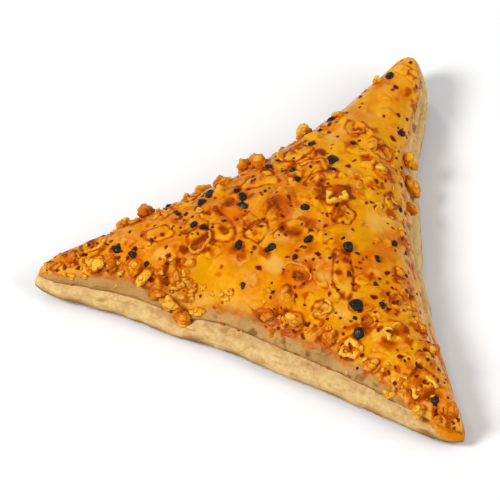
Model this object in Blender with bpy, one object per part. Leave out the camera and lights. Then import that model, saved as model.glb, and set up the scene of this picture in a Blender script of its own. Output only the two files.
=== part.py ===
"""A triangular puff-pastry samosa with a glazed and crumbed crust, baked as one solid.

Metres, +Z up. It lies on its flat base with one side along X and the far tip towards +Y.
The origin is under the middle of its bounding box, on the surface that it rests on.
"""

import math
import random

import bmesh
import bpy
import numpy as np
from mathutils import Matrix, Vector, noise
from mathutils.bvhtree import BVHTree

# Outline in plan. The tips are the left, the right and the far one, in that order everywhere.
SIDE = 0.086
TIP_RADIUS = 0.0014
TIP_ANGLES = (210.0, 330.0, 90.0)
SIDES = ((0, 1, 2), (1, 2, 0), (2, 0, 1))
# How far each side curves inwards at its middle, how much of that moves towards its second tip,
# and how far its upper edge is set back, next to the profile below.
SIDE_HOLLOW = (0.0031, 0.0051, 0.0036)
SIDE_SKEW = (-0.45, -0.25, -0.35)
SIDE_SETBACK = (1.0, 0.6, 0.9)
# How much further than the mean each tip reaches, which makes the triangle a little uneven.
TIP_REACH = (0.0004, 0.0018, 0.0008)
# The right side swells out again just before the far tip: share along it, half length in shares, and how far.
SWELL_SIDE = 1
SWELL_CENTRE = 0.87
SWELL_HALF_LENGTH = 0.11
SWELL_DEPTH = 0.16
SWELL_OUTWARD = 0.0018
EDGE_WAVE = 0.0005
EDGE_WAVE_LENGTH = 0.011

# The side from its foot up to the edge of the crust, as (inset, height) at mid side and at a tip.
# Foot, underside of the lower sheet, its rim, its top, the groove, the upper sheet, the crust's edge.
SIDE_PROFILE = (
    ((0.0028, 0.0002), (0.0024, 0.0002)),
    ((0.0009, 0.0008), (0.0007, 0.0006)),
    ((0.0000, 0.0021), (0.0000, 0.0013)),
    ((0.0008, 0.0043), (0.0004, 0.0023)),
    ((0.0026, 0.0052), (0.0011, 0.0028)),
    ((0.0023, 0.0067), (0.0008, 0.0038)),
    ((0.0034, 0.0083), (0.0016, 0.0050)),
)
# It rests on a flat triangle, whose corners lie this far from the middle of the plan.
BASE_RADIUS = 0.030

# The dome over the filling, its unevenness, and how far each tip curls up off the surface.
DOME_HEIGHT = 0.0075
DOME_ROUNDNESS = 0.60
LUMP_HEIGHT = 0.0008
LUMP_LENGTH = 0.016
TIP_LIFT = (0.0015, 0.0007, 0.0040)
TIP_LIFT_FROM = 0.58
# Where the crust hangs down over the front lip: its share along the front side, how far the sag
# spreads to the left, to the right and inwards, in shares, and its depth as a share of the height.
SAG_PLACE = 0.345
SAG_HALF_LENGTHS = (0.045, 0.030)
SAG_WIDTH = 0.09
SAG_DEPTH = 0.34

# The pieces on the crust that stand out, one by one.
# Kind, width, and its place as shares towards the right tip and the far tip.
LARGE_PIECES = (
    ("ring", 0.0050, 0.32, 0.45),
    ("nugget", 0.0047, 0.23, 0.17),
    ("flake", 0.0056, 0.22, 0.23),
    ("nugget", 0.0048, 0.23, 0.39),
    ("flake", 0.0046, 0.12, 0.43),
    ("ring", 0.0050, 0.47, 0.16),
    ("flake", 0.0054, 0.52, 0.24),
    ("ring", 0.0032, 0.58, 0.09),
    ("ring", 0.0047, 0.72, 0.15),
    ("ring", 0.0041, 0.69, 0.03),
    ("nugget", 0.0040, 0.81, 0.13),
    ("ring", 0.0047, 0.85, 0.05),
    ("nugget", 0.0043, 0.04, 0.51),
    ("ring", 0.0040, 0.14, 0.68),
    ("flake", 0.0046, 0.10, 0.56),
    ("flake", 0.0052, 0.18, 0.52),
    ("nugget", 0.0036, 0.32, 0.60),
    ("flake", 0.0032, 0.27, 0.65),
    ("ring", 0.0044, 0.05, 0.11),
    ("flake", 0.0044, 0.04, 0.27),
    ("nugget", 0.0036, 0.51, 0.02),
    ("nugget", 0.0033, 0.51, 0.07),
    ("nugget", 0.0037, 0.56, 0.03),
    ("nugget", 0.0027, 0.67, 0.13),
    ("nugget", 0.0030, 0.64, 0.03),
    ("nugget", 0.0034, 0.24, 0.02),
    ("nugget", 0.0038, 0.28, 0.05),
    ("nugget", 0.0030, 0.20, 0.04),
    ("nugget", 0.0027, 0.75, 0.02),
    ("flake", 0.0040, 0.30, 0.25),
    ("nugget", 0.0035, 0.34, 0.30),
    ("flake", 0.0034, 0.25, 0.28),
    ("flake", 0.0038, 0.39, 0.40),
    ("nugget", 0.0034, 0.04, 0.42),
    ("flake", 0.0042, 0.14, 0.17),
    ("nugget", 0.0031, 0.79, 0.19),
    ("nugget", 0.0033, 0.74, 0.23),
    ("nugget", 0.0036, 0.13, 0.03),
    ("nugget", 0.0032, 0.06, 0.05),
    ("nugget", 0.0028, 0.94, 0.03),
)
# The black seeds that stand out: width, and the same two shares.
LARGE_SEEDS = (
    (0.0027, 0.62, 0.15),
    (0.0025, 0.68, 0.08),
    (0.0024, 0.20, 0.56),
    (0.0024, 0.48, 0.31),
    (0.0022, 0.31, 0.18),
    (0.0020, 0.37, 0.20),
    (0.0020, 0.11, 0.10),
    (0.0017, 0.16, 0.08),
    (0.0021, 0.10, 0.31),
    (0.0020, 0.07, 0.36),
    (0.0018, 0.15, 0.36),
    (0.0021, 0.18, 0.33),
    (0.0016, 0.09, 0.49),
    (0.0015, 0.20, 0.46),
    (0.0018, 0.31, 0.37),
    (0.0018, 0.40, 0.28),
    (0.0015, 0.23, 0.53),
    (0.0017, 0.23, 0.74),
    (0.0015, 0.52, 0.43),
    (0.0015, 0.54, 0.34),
    (0.0016, 0.65, 0.21),
    (0.0016, 0.89, 0.03),
    (0.0016, 0.04, 0.70),
)
# Crumbs that hang over the crust's edge: width, side, share along it, and how far down to the groove.
EDGE_PIECES = (
    (0.0036, 0, 0.31, 0.1),
    (0.0034, 0, 0.34, 0.6),
    (0.0028, 0, 0.37, 0.2),
    (0.0026, 0, 0.345, 1.2),
    (0.0032, 0, 0.28, -0.1),
    (0.0024, 0, 0.80, 0.5),
    (0.0028, 0, 0.87, 0.4),
    (0.0026, 0, 0.92, 0.3),
    (0.0041, 1, 0.69, 0.0),
    (0.0038, 1, 0.64, 0.5),
    (0.0026, 1, 0.58, 0.3),
    (0.0030, 2, 0.33, 0.2),
    (0.0046, 2, 0.48, -0.1),
    (0.0036, 2, 0.545, 0.0),
    (0.0032, 2, 0.585, 0.1),
    (0.0028, 2, 0.62, 0.0),
    (0.0050, 2, 0.71, 0.0),
    (0.0040, 2, 0.76, 0.1),
)
# The rest, scattered: kind, how many, smallest and largest width.
SCATTER_SEED = 41
TOPPINGS = (
    ("nugget", 46, 0.0015, 0.0030),
    ("flake", 10, 0.0022, 0.0034),
    ("seed", 12, 0.0012, 0.0018),
)
FLATNESS = {"ring": 0.50, "nugget": 0.72, "flake": 0.34, "seed": 0.75}
TOPPING_GAP = 0.80
TOPPING_TRIES = 4000
TOPPING_SUNK = 0.42
CRUMB_PATCH_LENGTH = 0.020

GRID = 32
CRUST_COLOUR = (0.72, 0.30, 0.035, 1.0)
CRUST_ROUGHNESS = 0.42


def tip_direction(tip):
    angle = math.radians(TIP_ANGLES[tip])
    return np.array([math.cos(angle), math.sin(angle)])


def softening_length():
    """The stretch from a sharp tip over which the outline is drawn in to give TIP_RADIUS."""
    half_angle = math.radians(30.0 - 9.0)
    return TIP_RADIUS / math.tan(half_angle) ** 2


def plan_points(weights, mid_inset, tip_inset):
    """Where barycentric weights, one row a point, lie in plan on the outline drawn in by those insets."""
    soft = softening_length()
    sharp_radius = SIDE / math.sqrt(3) + soft / 2
    height = 1.5 * sharp_radius
    points = np.zeros((len(weights), 2))
    for tip in range(3):
        from_tip = (1 - weights[:, tip]) * height
        drawn_in = np.clip(soft - from_tip, 0, None) ** 2 / (2 * soft)
        reach = sharp_radius + TIP_REACH[tip] - tip_inset
        points += np.outer(weights[:, tip] * reach - drawn_in, tip_direction(tip))
    for side, (first, second, opposite) in enumerate(SIDES):
        _, along = side_share(weights, side)
        wave = [noise.noise(Vector((t * SIDE / EDGE_WAVE_LENGTH, 7.0 * opposite, 0.0))) for t in along]
        hollow = SIDE_HOLLOW[side] * (1 + SIDE_SKEW[side] * (2 * along - 1)) + EDGE_WAVE * np.array(wave)
        depth = mid_inset * SIDE_SETBACK[side] + hollow
        share = 4 * weights[:, first] * weights[:, second]
        points += np.outer(share * depth, tip_direction(opposite))
    nearness, along = side_share(weights, SWELL_SIDE)
    swell = np.exp(-((along - SWELL_CENTRE) / SWELL_HALF_LENGTH) ** 2 - ((1 - nearness) / SWELL_DEPTH) ** 2)
    return points - np.outer(SWELL_OUTWARD * swell, tip_direction(SIDES[SWELL_SIDE][2]))


def side_share(weights, side):
    """How near each point is to that side, 1 being on it, and how far along it, from its first tip."""
    first, second, _ = SIDES[side]
    nearness = weights[:, first] + weights[:, second]
    return nearness, weights[:, second] / np.maximum(nearness, 1e-9)


def fullness(weights):
    """0 at a tip, 1 at the middle of a side and a little more inside."""
    left, right, far = weights.T
    return np.sqrt(np.clip(4 * (left * right + right * far + far * left), 0, None))


def tip_lift(weights):
    rise = np.clip((weights - TIP_LIFT_FROM) / (1 - TIP_LIFT_FROM), 0, None) ** 2
    return rise @ np.array(TIP_LIFT)


def sagged(weights, height):
    """The height at each point, lower where the crust hangs down over the front lip."""
    nearness, along = side_share(weights, 0)
    half_length = np.where(along < SAG_PLACE, SAG_HALF_LENGTHS[0], SAG_HALF_LENGTHS[1])
    sag = np.exp(-np.abs((along - SAG_PLACE) / half_length) ** 1.5 - ((1 - nearness) / SAG_WIDTH) ** 2)
    return height * (1 - SAG_DEPTH * sag)


def crust_points(weights):
    """The points of the crust's upper surface, without the pieces on it."""
    (mid_inset, mid_height), (tip_inset, tip_height) = SIDE_PROFILE[-1]
    flat = plan_points(weights, mid_inset, tip_inset)
    dome = np.clip(27 * weights.prod(axis=1), 0, None) ** DOME_ROUNDNESS
    lumps = np.array([noise.noise(Vector((x, y, 0.0)) / LUMP_LENGTH) for x, y in flat])
    height = tip_height + (mid_height - tip_height) * fullness(weights)
    height += DOME_HEIGHT * dome + LUMP_HEIGHT * lumps * dome + tip_lift(weights)
    return np.column_stack([flat, sagged(weights, height)])


def side_loop(weights, profile_row):
    """One closed loop of the side, at one row of SIDE_PROFILE."""
    (mid_inset, mid_height), (tip_inset, tip_height) = profile_row
    height = tip_height + (mid_height - tip_height) * fullness(weights) + tip_lift(weights)
    return np.column_stack([plan_points(weights, mid_inset, tip_inset), sagged(weights, height)])


def triangle_grid(count):
    """Barycentric weights of a triangular grid, as a dict from (row, column) to its index, and the weights."""
    index = {}
    weights = []
    for row in range(count + 1):
        for column in range(count + 1 - row):
            index[row, column] = len(weights)
            weights.append((1 - (row + column) / count, column / count, row / count))
    return index, np.array(weights)


def edge_order(count):
    """The grid's edge as (row, column), once round from the left tip by the right one and the far one."""
    along_front = [(0, i) for i in range(count)]
    up_right = [(i, count - i) for i in range(count)]
    down_left = [(count - i, 0) for i in range(count)]
    return along_front + up_right + down_left


def pastry_mesh():
    """The baked pastry without its toppings, as a closed bmesh."""
    mesh = bmesh.new()
    index, weights = triangle_grid(GRID)
    crust = [mesh.verts.new(p) for p in crust_points(weights)]
    for (row, column), here in index.items():
        if row + column < GRID:
            right, up = index[row, column + 1], index[row + 1, column]
            mesh.faces.new((crust[here], crust[right], crust[up]))
            if row + column < GRID - 1:
                across = index[row + 1, column + 1]
                mesh.faces.new((crust[right], crust[across], crust[up]))
    edge = [index[place] for place in edge_order(GRID)]
    loop_weights = weights[edge]
    upper = [crust[i] for i in edge]
    for row in reversed(SIDE_PROFILE[:-1]):
        lower = [mesh.verts.new(p) for p in side_loop(loop_weights, row)]
        join_loops(mesh, lower, upper)
        upper = lower
    corners = [mesh.verts.new((*tip_direction(tip) * BASE_RADIUS, 0.0)) for tip in range(3)]
    nearest = [corners[tip] for tip in loop_weights.argmax(axis=1)]
    for i in range(len(upper)):
        j = (i + 1) % len(upper)
        mesh.faces.new((*dict.fromkeys((nearest[i], nearest[j])), upper[j], upper[i]))
    mesh.faces.new(list(reversed(corners)))
    return mesh


def join_loops(mesh, lower, upper):
    """Quads between two loops that run the same way round."""
    for i in range(len(lower)):
        j = (i + 1) % len(lower)
        mesh.faces.new((lower[i], lower[j], upper[j], upper[i]))


def centred(mesh):
    """Moves the mesh so that the origin is under the middle of its box, and returns the move."""
    places = np.array([v.co for v in mesh.verts])
    low, high = places.min(axis=0), places.max(axis=0)
    move = Vector((-(low[0] + high[0]) / 2, -(low[1] + high[1]) / 2, -low[2]))
    bmesh.ops.translate(mesh, vec=move, verts=mesh.verts)
    return move


def is_clear(place, width, placed):
    """Whether a piece of that width leaves the pieces placed before it enough room."""
    return all(math.dist(place, other) > TOPPING_GAP * (width + wide) / 2 for _, wide, other, _, _ in placed)


def placed_toppings():
    """Every piece on the crust, largest first in each kind: (kind, width, plan, weights, spin)."""
    draw = random.Random(SCATTER_SEED)
    placed = []
    for kind, width, right, far in (*LARGE_PIECES, *(("seed", *seed) for seed in LARGE_SEEDS)):
        weights = np.array([[1 - right - far, right, far]])
        placed.append((kind, width, crust_plan(weights), weights, draw.uniform(0, math.tau)))
    for kind, count, smallest, largest in TOPPINGS:
        for number in range(count):
            width = largest - (largest - smallest) * math.sqrt(number / count)
            for _ in range(TOPPING_TRIES):
                right, far = draw.random(), draw.random()
                if right + far > 1:
                    right, far = 1 - right, 1 - far
                weights = np.array([[1 - right - far, right, far]])
                place = crust_plan(weights)
                patch = 0.75 + 0.9 * noise.noise(Vector((*place, 0.02)) / CRUMB_PATCH_LENGTH)
                if weights.min() > 0.012 and draw.random() < patch and is_clear(place, width, placed):
                    placed.append((kind, width, place, weights, draw.uniform(0, math.tau)))
                    break
    return placed


def crust_plan(weights):
    """Where one point of the crust lies in plan."""
    (mid_inset, _), (tip_inset, _) = SIDE_PROFILE[-1]
    return plan_points(weights, mid_inset, tip_inset)[0]


def topping_mesh(kind, width, number):
    """One low lump, ring or flake, round its own origin with +Z as the way up."""
    mesh = bmesh.new()
    if kind == "ring":
        add_ring(mesh, width)
    elif kind == "nugget" and width > 0.0038:
        bmesh.ops.create_icosphere(mesh, subdivisions=2, radius=width / 2)
    elif kind == "seed" or kind == "flake":
        bmesh.ops.create_icosphere(mesh, subdivisions=1, radius=width / 2)
    else:
        bmesh.ops.create_uvsphere(mesh, u_segments=6, v_segments=4, radius=width / 2)
    for vertex in mesh.verts:
        bump = noise.noise(vertex.co / width * 2.6 + Vector((number * 3.7, 0.0, 0.0)))
        vertex.co *= 1 + 0.28 * bump
        vertex.co.z *= FLATNESS[kind]
    return mesh


def add_ring(mesh, width):
    """A torus of that width, for a burst bubble in the crumb."""
    around, across = 8, 4
    tube = width * 0.17
    loops = []
    for i in range(around):
        turn = math.tau * i / around
        loop = []
        for j in range(across):
            roll = math.tau * j / across
            reach = width / 2 - tube + tube * math.cos(roll)
            height = 2.4 * tube * math.sin(roll)
            loop.append(mesh.verts.new((reach * math.cos(turn), reach * math.sin(turn), height)))
        loops.append(loop)
    for i in range(around):
        join_loops(mesh, loops[i], loops[(i + 1) % around])
    bmesh.ops.recalc_face_normals(mesh, faces=mesh.faces)


def new_object(name, mesh, collection):
    data = bpy.data.meshes.new(name)
    mesh.to_mesh(data)
    mesh.free()
    made = bpy.data.objects.new(name, data)
    collection.objects.link(made)
    return made


def add_toppings(surface, move, collection):
    """Makes an object for each topping, set into the crust and square to it."""
    for number, (kind, width, _, weights, spin) in enumerate(placed_toppings()):
        above = Vector(crust_points(weights)[0]) + move + Vector((0.0, 0.0, SIDE))
        hit, normal, _, _ = surface.ray_cast(above, Vector((0.0, 0.0, -1.0)))
        add_topping(kind, width, hit, normal, spin, number, collection)
    for number, (width, side, along, drop) in enumerate(EDGE_PIECES):
        first, second, opposite = SIDES[side]
        weights = np.zeros((1, 3))
        weights[0, [first, second]] = 1 - along, along
        groove, edge = (Vector(side_loop(weights, SIDE_PROFILE[row])[0]) for row in (-3, -1))
        outward = Vector((*-tip_direction(opposite), 0.5)).normalized()
        add_topping("nugget", width, edge.lerp(groove, drop) + move, outward, along, -1 - number, collection)


def add_topping(kind, width, place, normal, spin, number, collection):
    """One topping at that place, sunk into the surface that the normal stands on."""
    turn = normal.to_track_quat("Z", "Y").to_matrix().to_4x4()
    risen = (0.5 - TOPPING_SUNK) * width * FLATNESS[kind]
    mesh = topping_mesh(kind, width, number)
    mesh.transform(Matrix.Translation(place + normal * risen) @ turn @ Matrix.Rotation(spin, 4, "Z"))
    new_object("topping", mesh, collection)


def crust_material():
    material = bpy.data.materials.new("baked_crust")
    material.use_nodes = True
    shader = material.node_tree.nodes["Principled BSDF"]
    shader.inputs["Base Color"].default_value = CRUST_COLOUR
    shader.inputs["Roughness"].default_value = CRUST_ROUGHNESS
    shader.inputs["Metallic"].default_value = 0.0
    return material


def fuse(body, collection):
    """Unites the body with every object of the collection, and removes them."""
    union = body.modifiers.new("toppings", "BOOLEAN")
    union.operation = "UNION"
    union.operand_type = "COLLECTION"
    union.collection = collection
    union.solver = "EXACT"
    graph = bpy.context.evaluated_depsgraph_get()
    fused = bpy.data.meshes.new_from_object(body.evaluated_get(graph))
    body.modifiers.clear()
    body.data = fused
    for topping in list(collection.objects):
        bpy.data.objects.remove(topping)
    bpy.data.collections.remove(collection)


def main():
    for leftover in list(bpy.data.objects):
        bpy.data.objects.remove(leftover)
    mesh = pastry_mesh()
    move = centred(mesh)
    surface = BVHTree.FromBMesh(mesh)
    samosa = new_object("samosa", mesh, bpy.context.scene.collection)
    toppings = bpy.data.collections.new("toppings")
    bpy.context.scene.collection.children.link(toppings)
    add_toppings(surface, move, toppings)
    fuse(samosa, toppings)
    samosa.data.materials.clear()
    samosa.data.materials.append(crust_material())
    samosa.data.shade_smooth()
    samosa.data.set_sharp_from_angle(angle=math.radians(40))


main()
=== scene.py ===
"""The looks of a baked triangular samosa: a glazed, crumbed crust over pale layered sides.

Metres, +Z up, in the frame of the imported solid. The outline and the places of the crumbs follow
the same named values and the same seeded scatter as that solid.
"""

import math
import random

import bmesh
import bpy
import numpy as np
from mathutils import Matrix, Vector, noise
from mathutils.bvhtree import BVHTree


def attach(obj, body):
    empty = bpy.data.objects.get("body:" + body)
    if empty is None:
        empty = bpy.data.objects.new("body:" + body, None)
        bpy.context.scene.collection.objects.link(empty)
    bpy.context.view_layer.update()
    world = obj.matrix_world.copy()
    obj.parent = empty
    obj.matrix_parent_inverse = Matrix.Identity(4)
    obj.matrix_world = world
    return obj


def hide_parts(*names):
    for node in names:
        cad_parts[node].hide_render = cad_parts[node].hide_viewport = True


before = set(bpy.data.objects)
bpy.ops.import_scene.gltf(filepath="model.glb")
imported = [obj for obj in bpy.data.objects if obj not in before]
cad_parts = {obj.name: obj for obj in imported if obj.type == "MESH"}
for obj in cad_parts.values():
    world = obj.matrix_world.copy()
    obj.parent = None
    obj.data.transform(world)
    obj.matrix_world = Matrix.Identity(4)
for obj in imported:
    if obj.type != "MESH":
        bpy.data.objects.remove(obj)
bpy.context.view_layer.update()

# Outline in plan. The tips are the left, the right and the far one, in that order everywhere.
SIDE = 0.086
PLAN_HEIGHT = 1.5 * SIDE / math.sqrt(3)
TIP_RADIUS = 0.0014
TIP_HALF_ANGLE = 21.0
TIP_ANGLES = (210.0, 330.0, 90.0)
SIDES = ((0, 1, 2), (1, 2, 0), (2, 0, 1))
SIDE_HOLLOW = (0.0031, 0.0051, 0.0036)
SIDE_SKEW = (-0.45, -0.25, -0.35)
SIDE_SETBACK = (1.0, 0.6, 0.9)
TIP_REACH = (0.0004, 0.0018, 0.0008)
SWELL_SIDE = 1
SWELL_CENTRE = 0.87
SWELL_HALF_LENGTH = 0.11
SWELL_DEPTH = 0.16
SWELL_OUTWARD = 0.0018
EDGE_WAVE = 0.0005
EDGE_WAVE_LENGTH = 0.011

# The side from its foot up to the edge of the crust, as (inset, height) at mid side and at a tip.
SIDE_PROFILE = (
    ((0.0028, 0.0002), (0.0024, 0.0002)),
    ((0.0009, 0.0008), (0.0007, 0.0006)),
    ((0.0000, 0.0021), (0.0000, 0.0013)),
    ((0.0008, 0.0043), (0.0004, 0.0023)),
    ((0.0026, 0.0052), (0.0011, 0.0028)),
    ((0.0023, 0.0067), (0.0008, 0.0038)),
    ((0.0034, 0.0083), (0.0016, 0.0050)),
)
FOOT_ROW = 0
GROOVE_ROW = 4
CRUST_ROW = 6
BASE_RADIUS = 0.030

# The dome over the filling, its unevenness, and how far each tip curls up off the surface.
DOME_HEIGHT = 0.0075
DOME_ROUNDNESS = 0.60
LUMP_HEIGHT = 0.0008
LUMP_LENGTH = 0.016
TIP_LIFT = (0.0015, 0.0007, 0.0040)
TIP_LIFT_FROM = 0.58

# The pieces on the crust that stand out, one by one.
# Kind, width, and its place as shares towards the right tip and the far tip.
LARGE_PIECES = (
    ("ring", 0.0050, 0.32, 0.45),
    ("nugget", 0.0047, 0.23, 0.17),
    ("flake", 0.0056, 0.22, 0.23),
    ("nugget", 0.0048, 0.23, 0.39),
    ("flake", 0.0046, 0.12, 0.43),
    ("ring", 0.0050, 0.47, 0.16),
    ("flake", 0.0054, 0.52, 0.24),
    ("ring", 0.0032, 0.58, 0.09),
    ("ring", 0.0047, 0.72, 0.15),
    ("ring", 0.0041, 0.69, 0.03),
    ("nugget", 0.0040, 0.81, 0.13),
    ("ring", 0.0047, 0.85, 0.05),
    ("nugget", 0.0043, 0.04, 0.51),
    ("ring", 0.0040, 0.14, 0.68),
    ("flake", 0.0046, 0.10, 0.56),
    ("flake", 0.0052, 0.18, 0.52),
    ("nugget", 0.0036, 0.32, 0.60),
    ("flake", 0.0032, 0.27, 0.65),
    ("ring", 0.0044, 0.05, 0.11),
    ("flake", 0.0044, 0.04, 0.27),
    ("nugget", 0.0036, 0.51, 0.02),
    ("nugget", 0.0033, 0.51, 0.07),
    ("nugget", 0.0037, 0.56, 0.03),
    ("nugget", 0.0027, 0.67, 0.13),
    ("nugget", 0.0030, 0.64, 0.03),
    ("nugget", 0.0034, 0.24, 0.02),
    ("nugget", 0.0038, 0.28, 0.05),
    ("nugget", 0.0030, 0.20, 0.04),
    ("nugget", 0.0027, 0.75, 0.02),
    ("flake", 0.0040, 0.30, 0.25),
    ("nugget", 0.0035, 0.34, 0.30),
    ("flake", 0.0034, 0.25, 0.28),
    ("flake", 0.0038, 0.39, 0.40),
    ("nugget", 0.0034, 0.04, 0.42),
    ("flake", 0.0042, 0.14, 0.17),
    ("nugget", 0.0031, 0.79, 0.19),
    ("nugget", 0.0033, 0.74, 0.23),
    ("nugget", 0.0036, 0.13, 0.03),
    ("nugget", 0.0032, 0.06, 0.05),
    ("nugget", 0.0028, 0.94, 0.03),
)
# The black seeds that stand out: width, and the same two shares.
LARGE_SEEDS = (
    (0.0027, 0.62, 0.15),
    (0.0025, 0.68, 0.08),
    (0.0024, 0.20, 0.56),
    (0.0024, 0.48, 0.31),
    (0.0022, 0.31, 0.18),
    (0.0020, 0.37, 0.20),
    (0.0020, 0.11, 0.10),
    (0.0017, 0.16, 0.08),
    (0.0021, 0.10, 0.31),
    (0.0020, 0.07, 0.36),
    (0.0018, 0.15, 0.36),
    (0.0021, 0.18, 0.33),
    (0.0016, 0.09, 0.49),
    (0.0015, 0.20, 0.46),
    (0.0018, 0.31, 0.37),
    (0.0018, 0.40, 0.28),
    (0.0015, 0.23, 0.53),
    (0.0017, 0.23, 0.74),
    (0.0015, 0.52, 0.43),
    (0.0015, 0.54, 0.34),
    (0.0016, 0.65, 0.21),
    (0.0016, 0.89, 0.03),
    (0.0016, 0.04, 0.70),
)
# Crumbs that hang over the crust's edge: width, side, share along it, and how far down to the groove.
EDGE_PIECES = (
    (0.0036, 0, 0.31, 0.1),
    (0.0034, 0, 0.34, 0.6),
    (0.0028, 0, 0.37, 0.2),
    (0.0026, 0, 0.345, 1.2),
    (0.0032, 0, 0.28, -0.1),
    (0.0024, 0, 0.80, 0.5),
    (0.0028, 0, 0.87, 0.4),
    (0.0026, 0, 0.92, 0.3),
    (0.0041, 1, 0.69, 0.0),
    (0.0038, 1, 0.64, 0.5),
    (0.0026, 1, 0.58, 0.3),
    (0.0030, 2, 0.33, 0.2),
    (0.0046, 2, 0.48, -0.1),
    (0.0036, 2, 0.545, 0.0),
    (0.0032, 2, 0.585, 0.1),
    (0.0028, 2, 0.62, 0.0),
    (0.0050, 2, 0.71, 0.0),
    (0.0040, 2, 0.76, 0.1),
)
# The smaller pieces of the solid, scattered: kind, count, smallest and largest width.
SCATTER_SEED = 41
TOPPINGS = (
    ("nugget", 46, 0.0015, 0.0030),
    ("flake", 10, 0.0022, 0.0034),
    ("seed", 12, 0.0012, 0.0018),
)
TOPPING_GAP = 0.80
TOPPING_TRIES = 4000
TOPPING_CLEARANCE = 0.012
CRUMB_PATCH_LENGTH = 0.020

# Where the crust hangs down over the front lip: its share along the front side, how far the sag
# spreads to the left, to the right and inwards, in shares, and its depth as a share of the height.
SAG_PLACE = 0.345
SAG_HALF_LENGTHS = (0.045, 0.030)
SAG_WIDTH = 0.09
SAG_DEPTH = 0.34

# How finely the pastry is modelled, how much closer its points lie together towards the sides, and
# the solid's own grid, which sets where its middle lies.
FINE_GRID = 370
EDGE_CROWDING = 1.2
UPPER_ROWS = 20
LOWER_ROWS = 34
SOLID_GRID = 32

# The camera's place seen from the samosa, its distance, and the width that its picture takes in.
VIEW_AZIMUTH = 24.3
VIEW_ELEVATION = 51.2
VIEW_DISTANCE = 2.4
VIEW_WIDTH = 0.0935
# The lights: name, azimuth from the camera's, elevation, distance, size and power.
LIGHTS = (
    ("key", -65, 46, 0.8, 0.30, 5.1),
    ("fill", 72, 38, 0.9, 0.7, 3.8),
    ("glint", -150, 38, 0.9, 0.08, 0.9),
)
WORLD_STRENGTH = 0.35
FLOOR_HALF = 3.0
FLOOR_COLOUR = (0.86, 0.86, 0.86, 1.0)

# Colours in even light, and the sheen of everything that is glazed.
# The tan, the toast and the burnt are also laid on as painted shade, and the two pale colours as painted
# highlights.
GOLD = "#D68E00"
ORANGE = "#CC6900"
TAWNY = "#B44800"
BURNT_AND_SHADE = "#641D00"
PALE_GOLD_HIGHLIGHT = "#E8AC22"
PALE_YELLOW_HIGHLIGHT = "#ECBC48"
PEACH = "#DCA64A"
PEPPER = "#501803"
CHILLI = "#4E1002"
CHILLI_RED = "#A33A0C"
PALE_CREAM = "#E4C690"
CREAM = "#D2AE70"
BEIGE = "#B88A50"
SHADE_TAN = "#A07036"
TOAST_AND_SHADE = "#744518"
SEED_BLACK = "#0E0C0A"
SEED_BROWN = "#2B2320"
SEED_SHEEN = "#FFF0E0"
# How much the glaze's edge is browned, which also paints the shadow line under the crust's edge.
RIM_BROWNING_AND_SHADOW = 0.7
BARE_ROUGHNESS = 0.78
SHINE = 0.20
SHINE_TINT = "#FFBC50"


def linear(text):
    """The linear colour of a hex text such as #FFAA00."""
    parts = [int(text[i:i + 2], 16) / 255 for i in (1, 3, 5)]
    return (*(p / 12.92 if p <= 0.04045 else ((p + 0.055) / 1.055) ** 2.4 for p in parts), 1.0)


def smoothstep(low, high, values):
    """0 up to the first number and 1 from the second one on, with a smooth rise between them."""
    share = np.clip((values - low) / (high - low), 0, 1)
    return share * share * (3 - 2 * share)


def ripples(points, length, seed=0.0):
    """Smooth noise from about -1 to 1 at each point, with one length or one for each axis."""
    places = points / np.array(length) + seed
    return np.array([noise.noise(place) for place in places.tolist()])


def on_level(plan, level=0.0):
    """Points in plan with a height added."""
    return np.column_stack([plan, np.broadcast_to(level, len(plan))])


def bell(values, width):
    """1 where the values are 0, falling off to both sides over about that width."""
    return np.exp(-(values / width) ** 2)


# The pastry's shape


def tip_direction(tip):
    """The way in plan from the middle to that tip."""
    angle = math.radians(TIP_ANGLES[tip])
    return np.array([math.cos(angle), math.sin(angle)])


def softening_length():
    """The stretch from a sharp tip over which the outline is drawn in to give TIP_RADIUS."""
    return TIP_RADIUS / math.tan(math.radians(TIP_HALF_ANGLE)) ** 2


def weights_at(right, far):
    """The barycentric weights of a place given by its two shares, as one row."""
    return np.array([[1 - right - far, right, far]])


def anywhere(draw):
    """The weights of a random place on the triangle."""
    right, far = draw.random(), draw.random()
    if right + far > 1:
        right, far = 1 - right, 1 - far
    return weights_at(right, far)


def side_weights(side, along, inward=0.0):
    """The weights of a place on a side, or inward of it, as one row."""
    weights = np.zeros((1, 3))
    weights[0, list(SIDES[side])] = 1 - along, along, inward
    return weights / weights.sum()


def side_share(weights, side):
    """How near each point is to that side, 1 being on it, and how far along it, from its first tip."""
    first, second, _ = SIDES[side]
    nearness = weights[:, first] + weights[:, second]
    return nearness, weights[:, second] / np.maximum(nearness, 1e-9)


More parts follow.
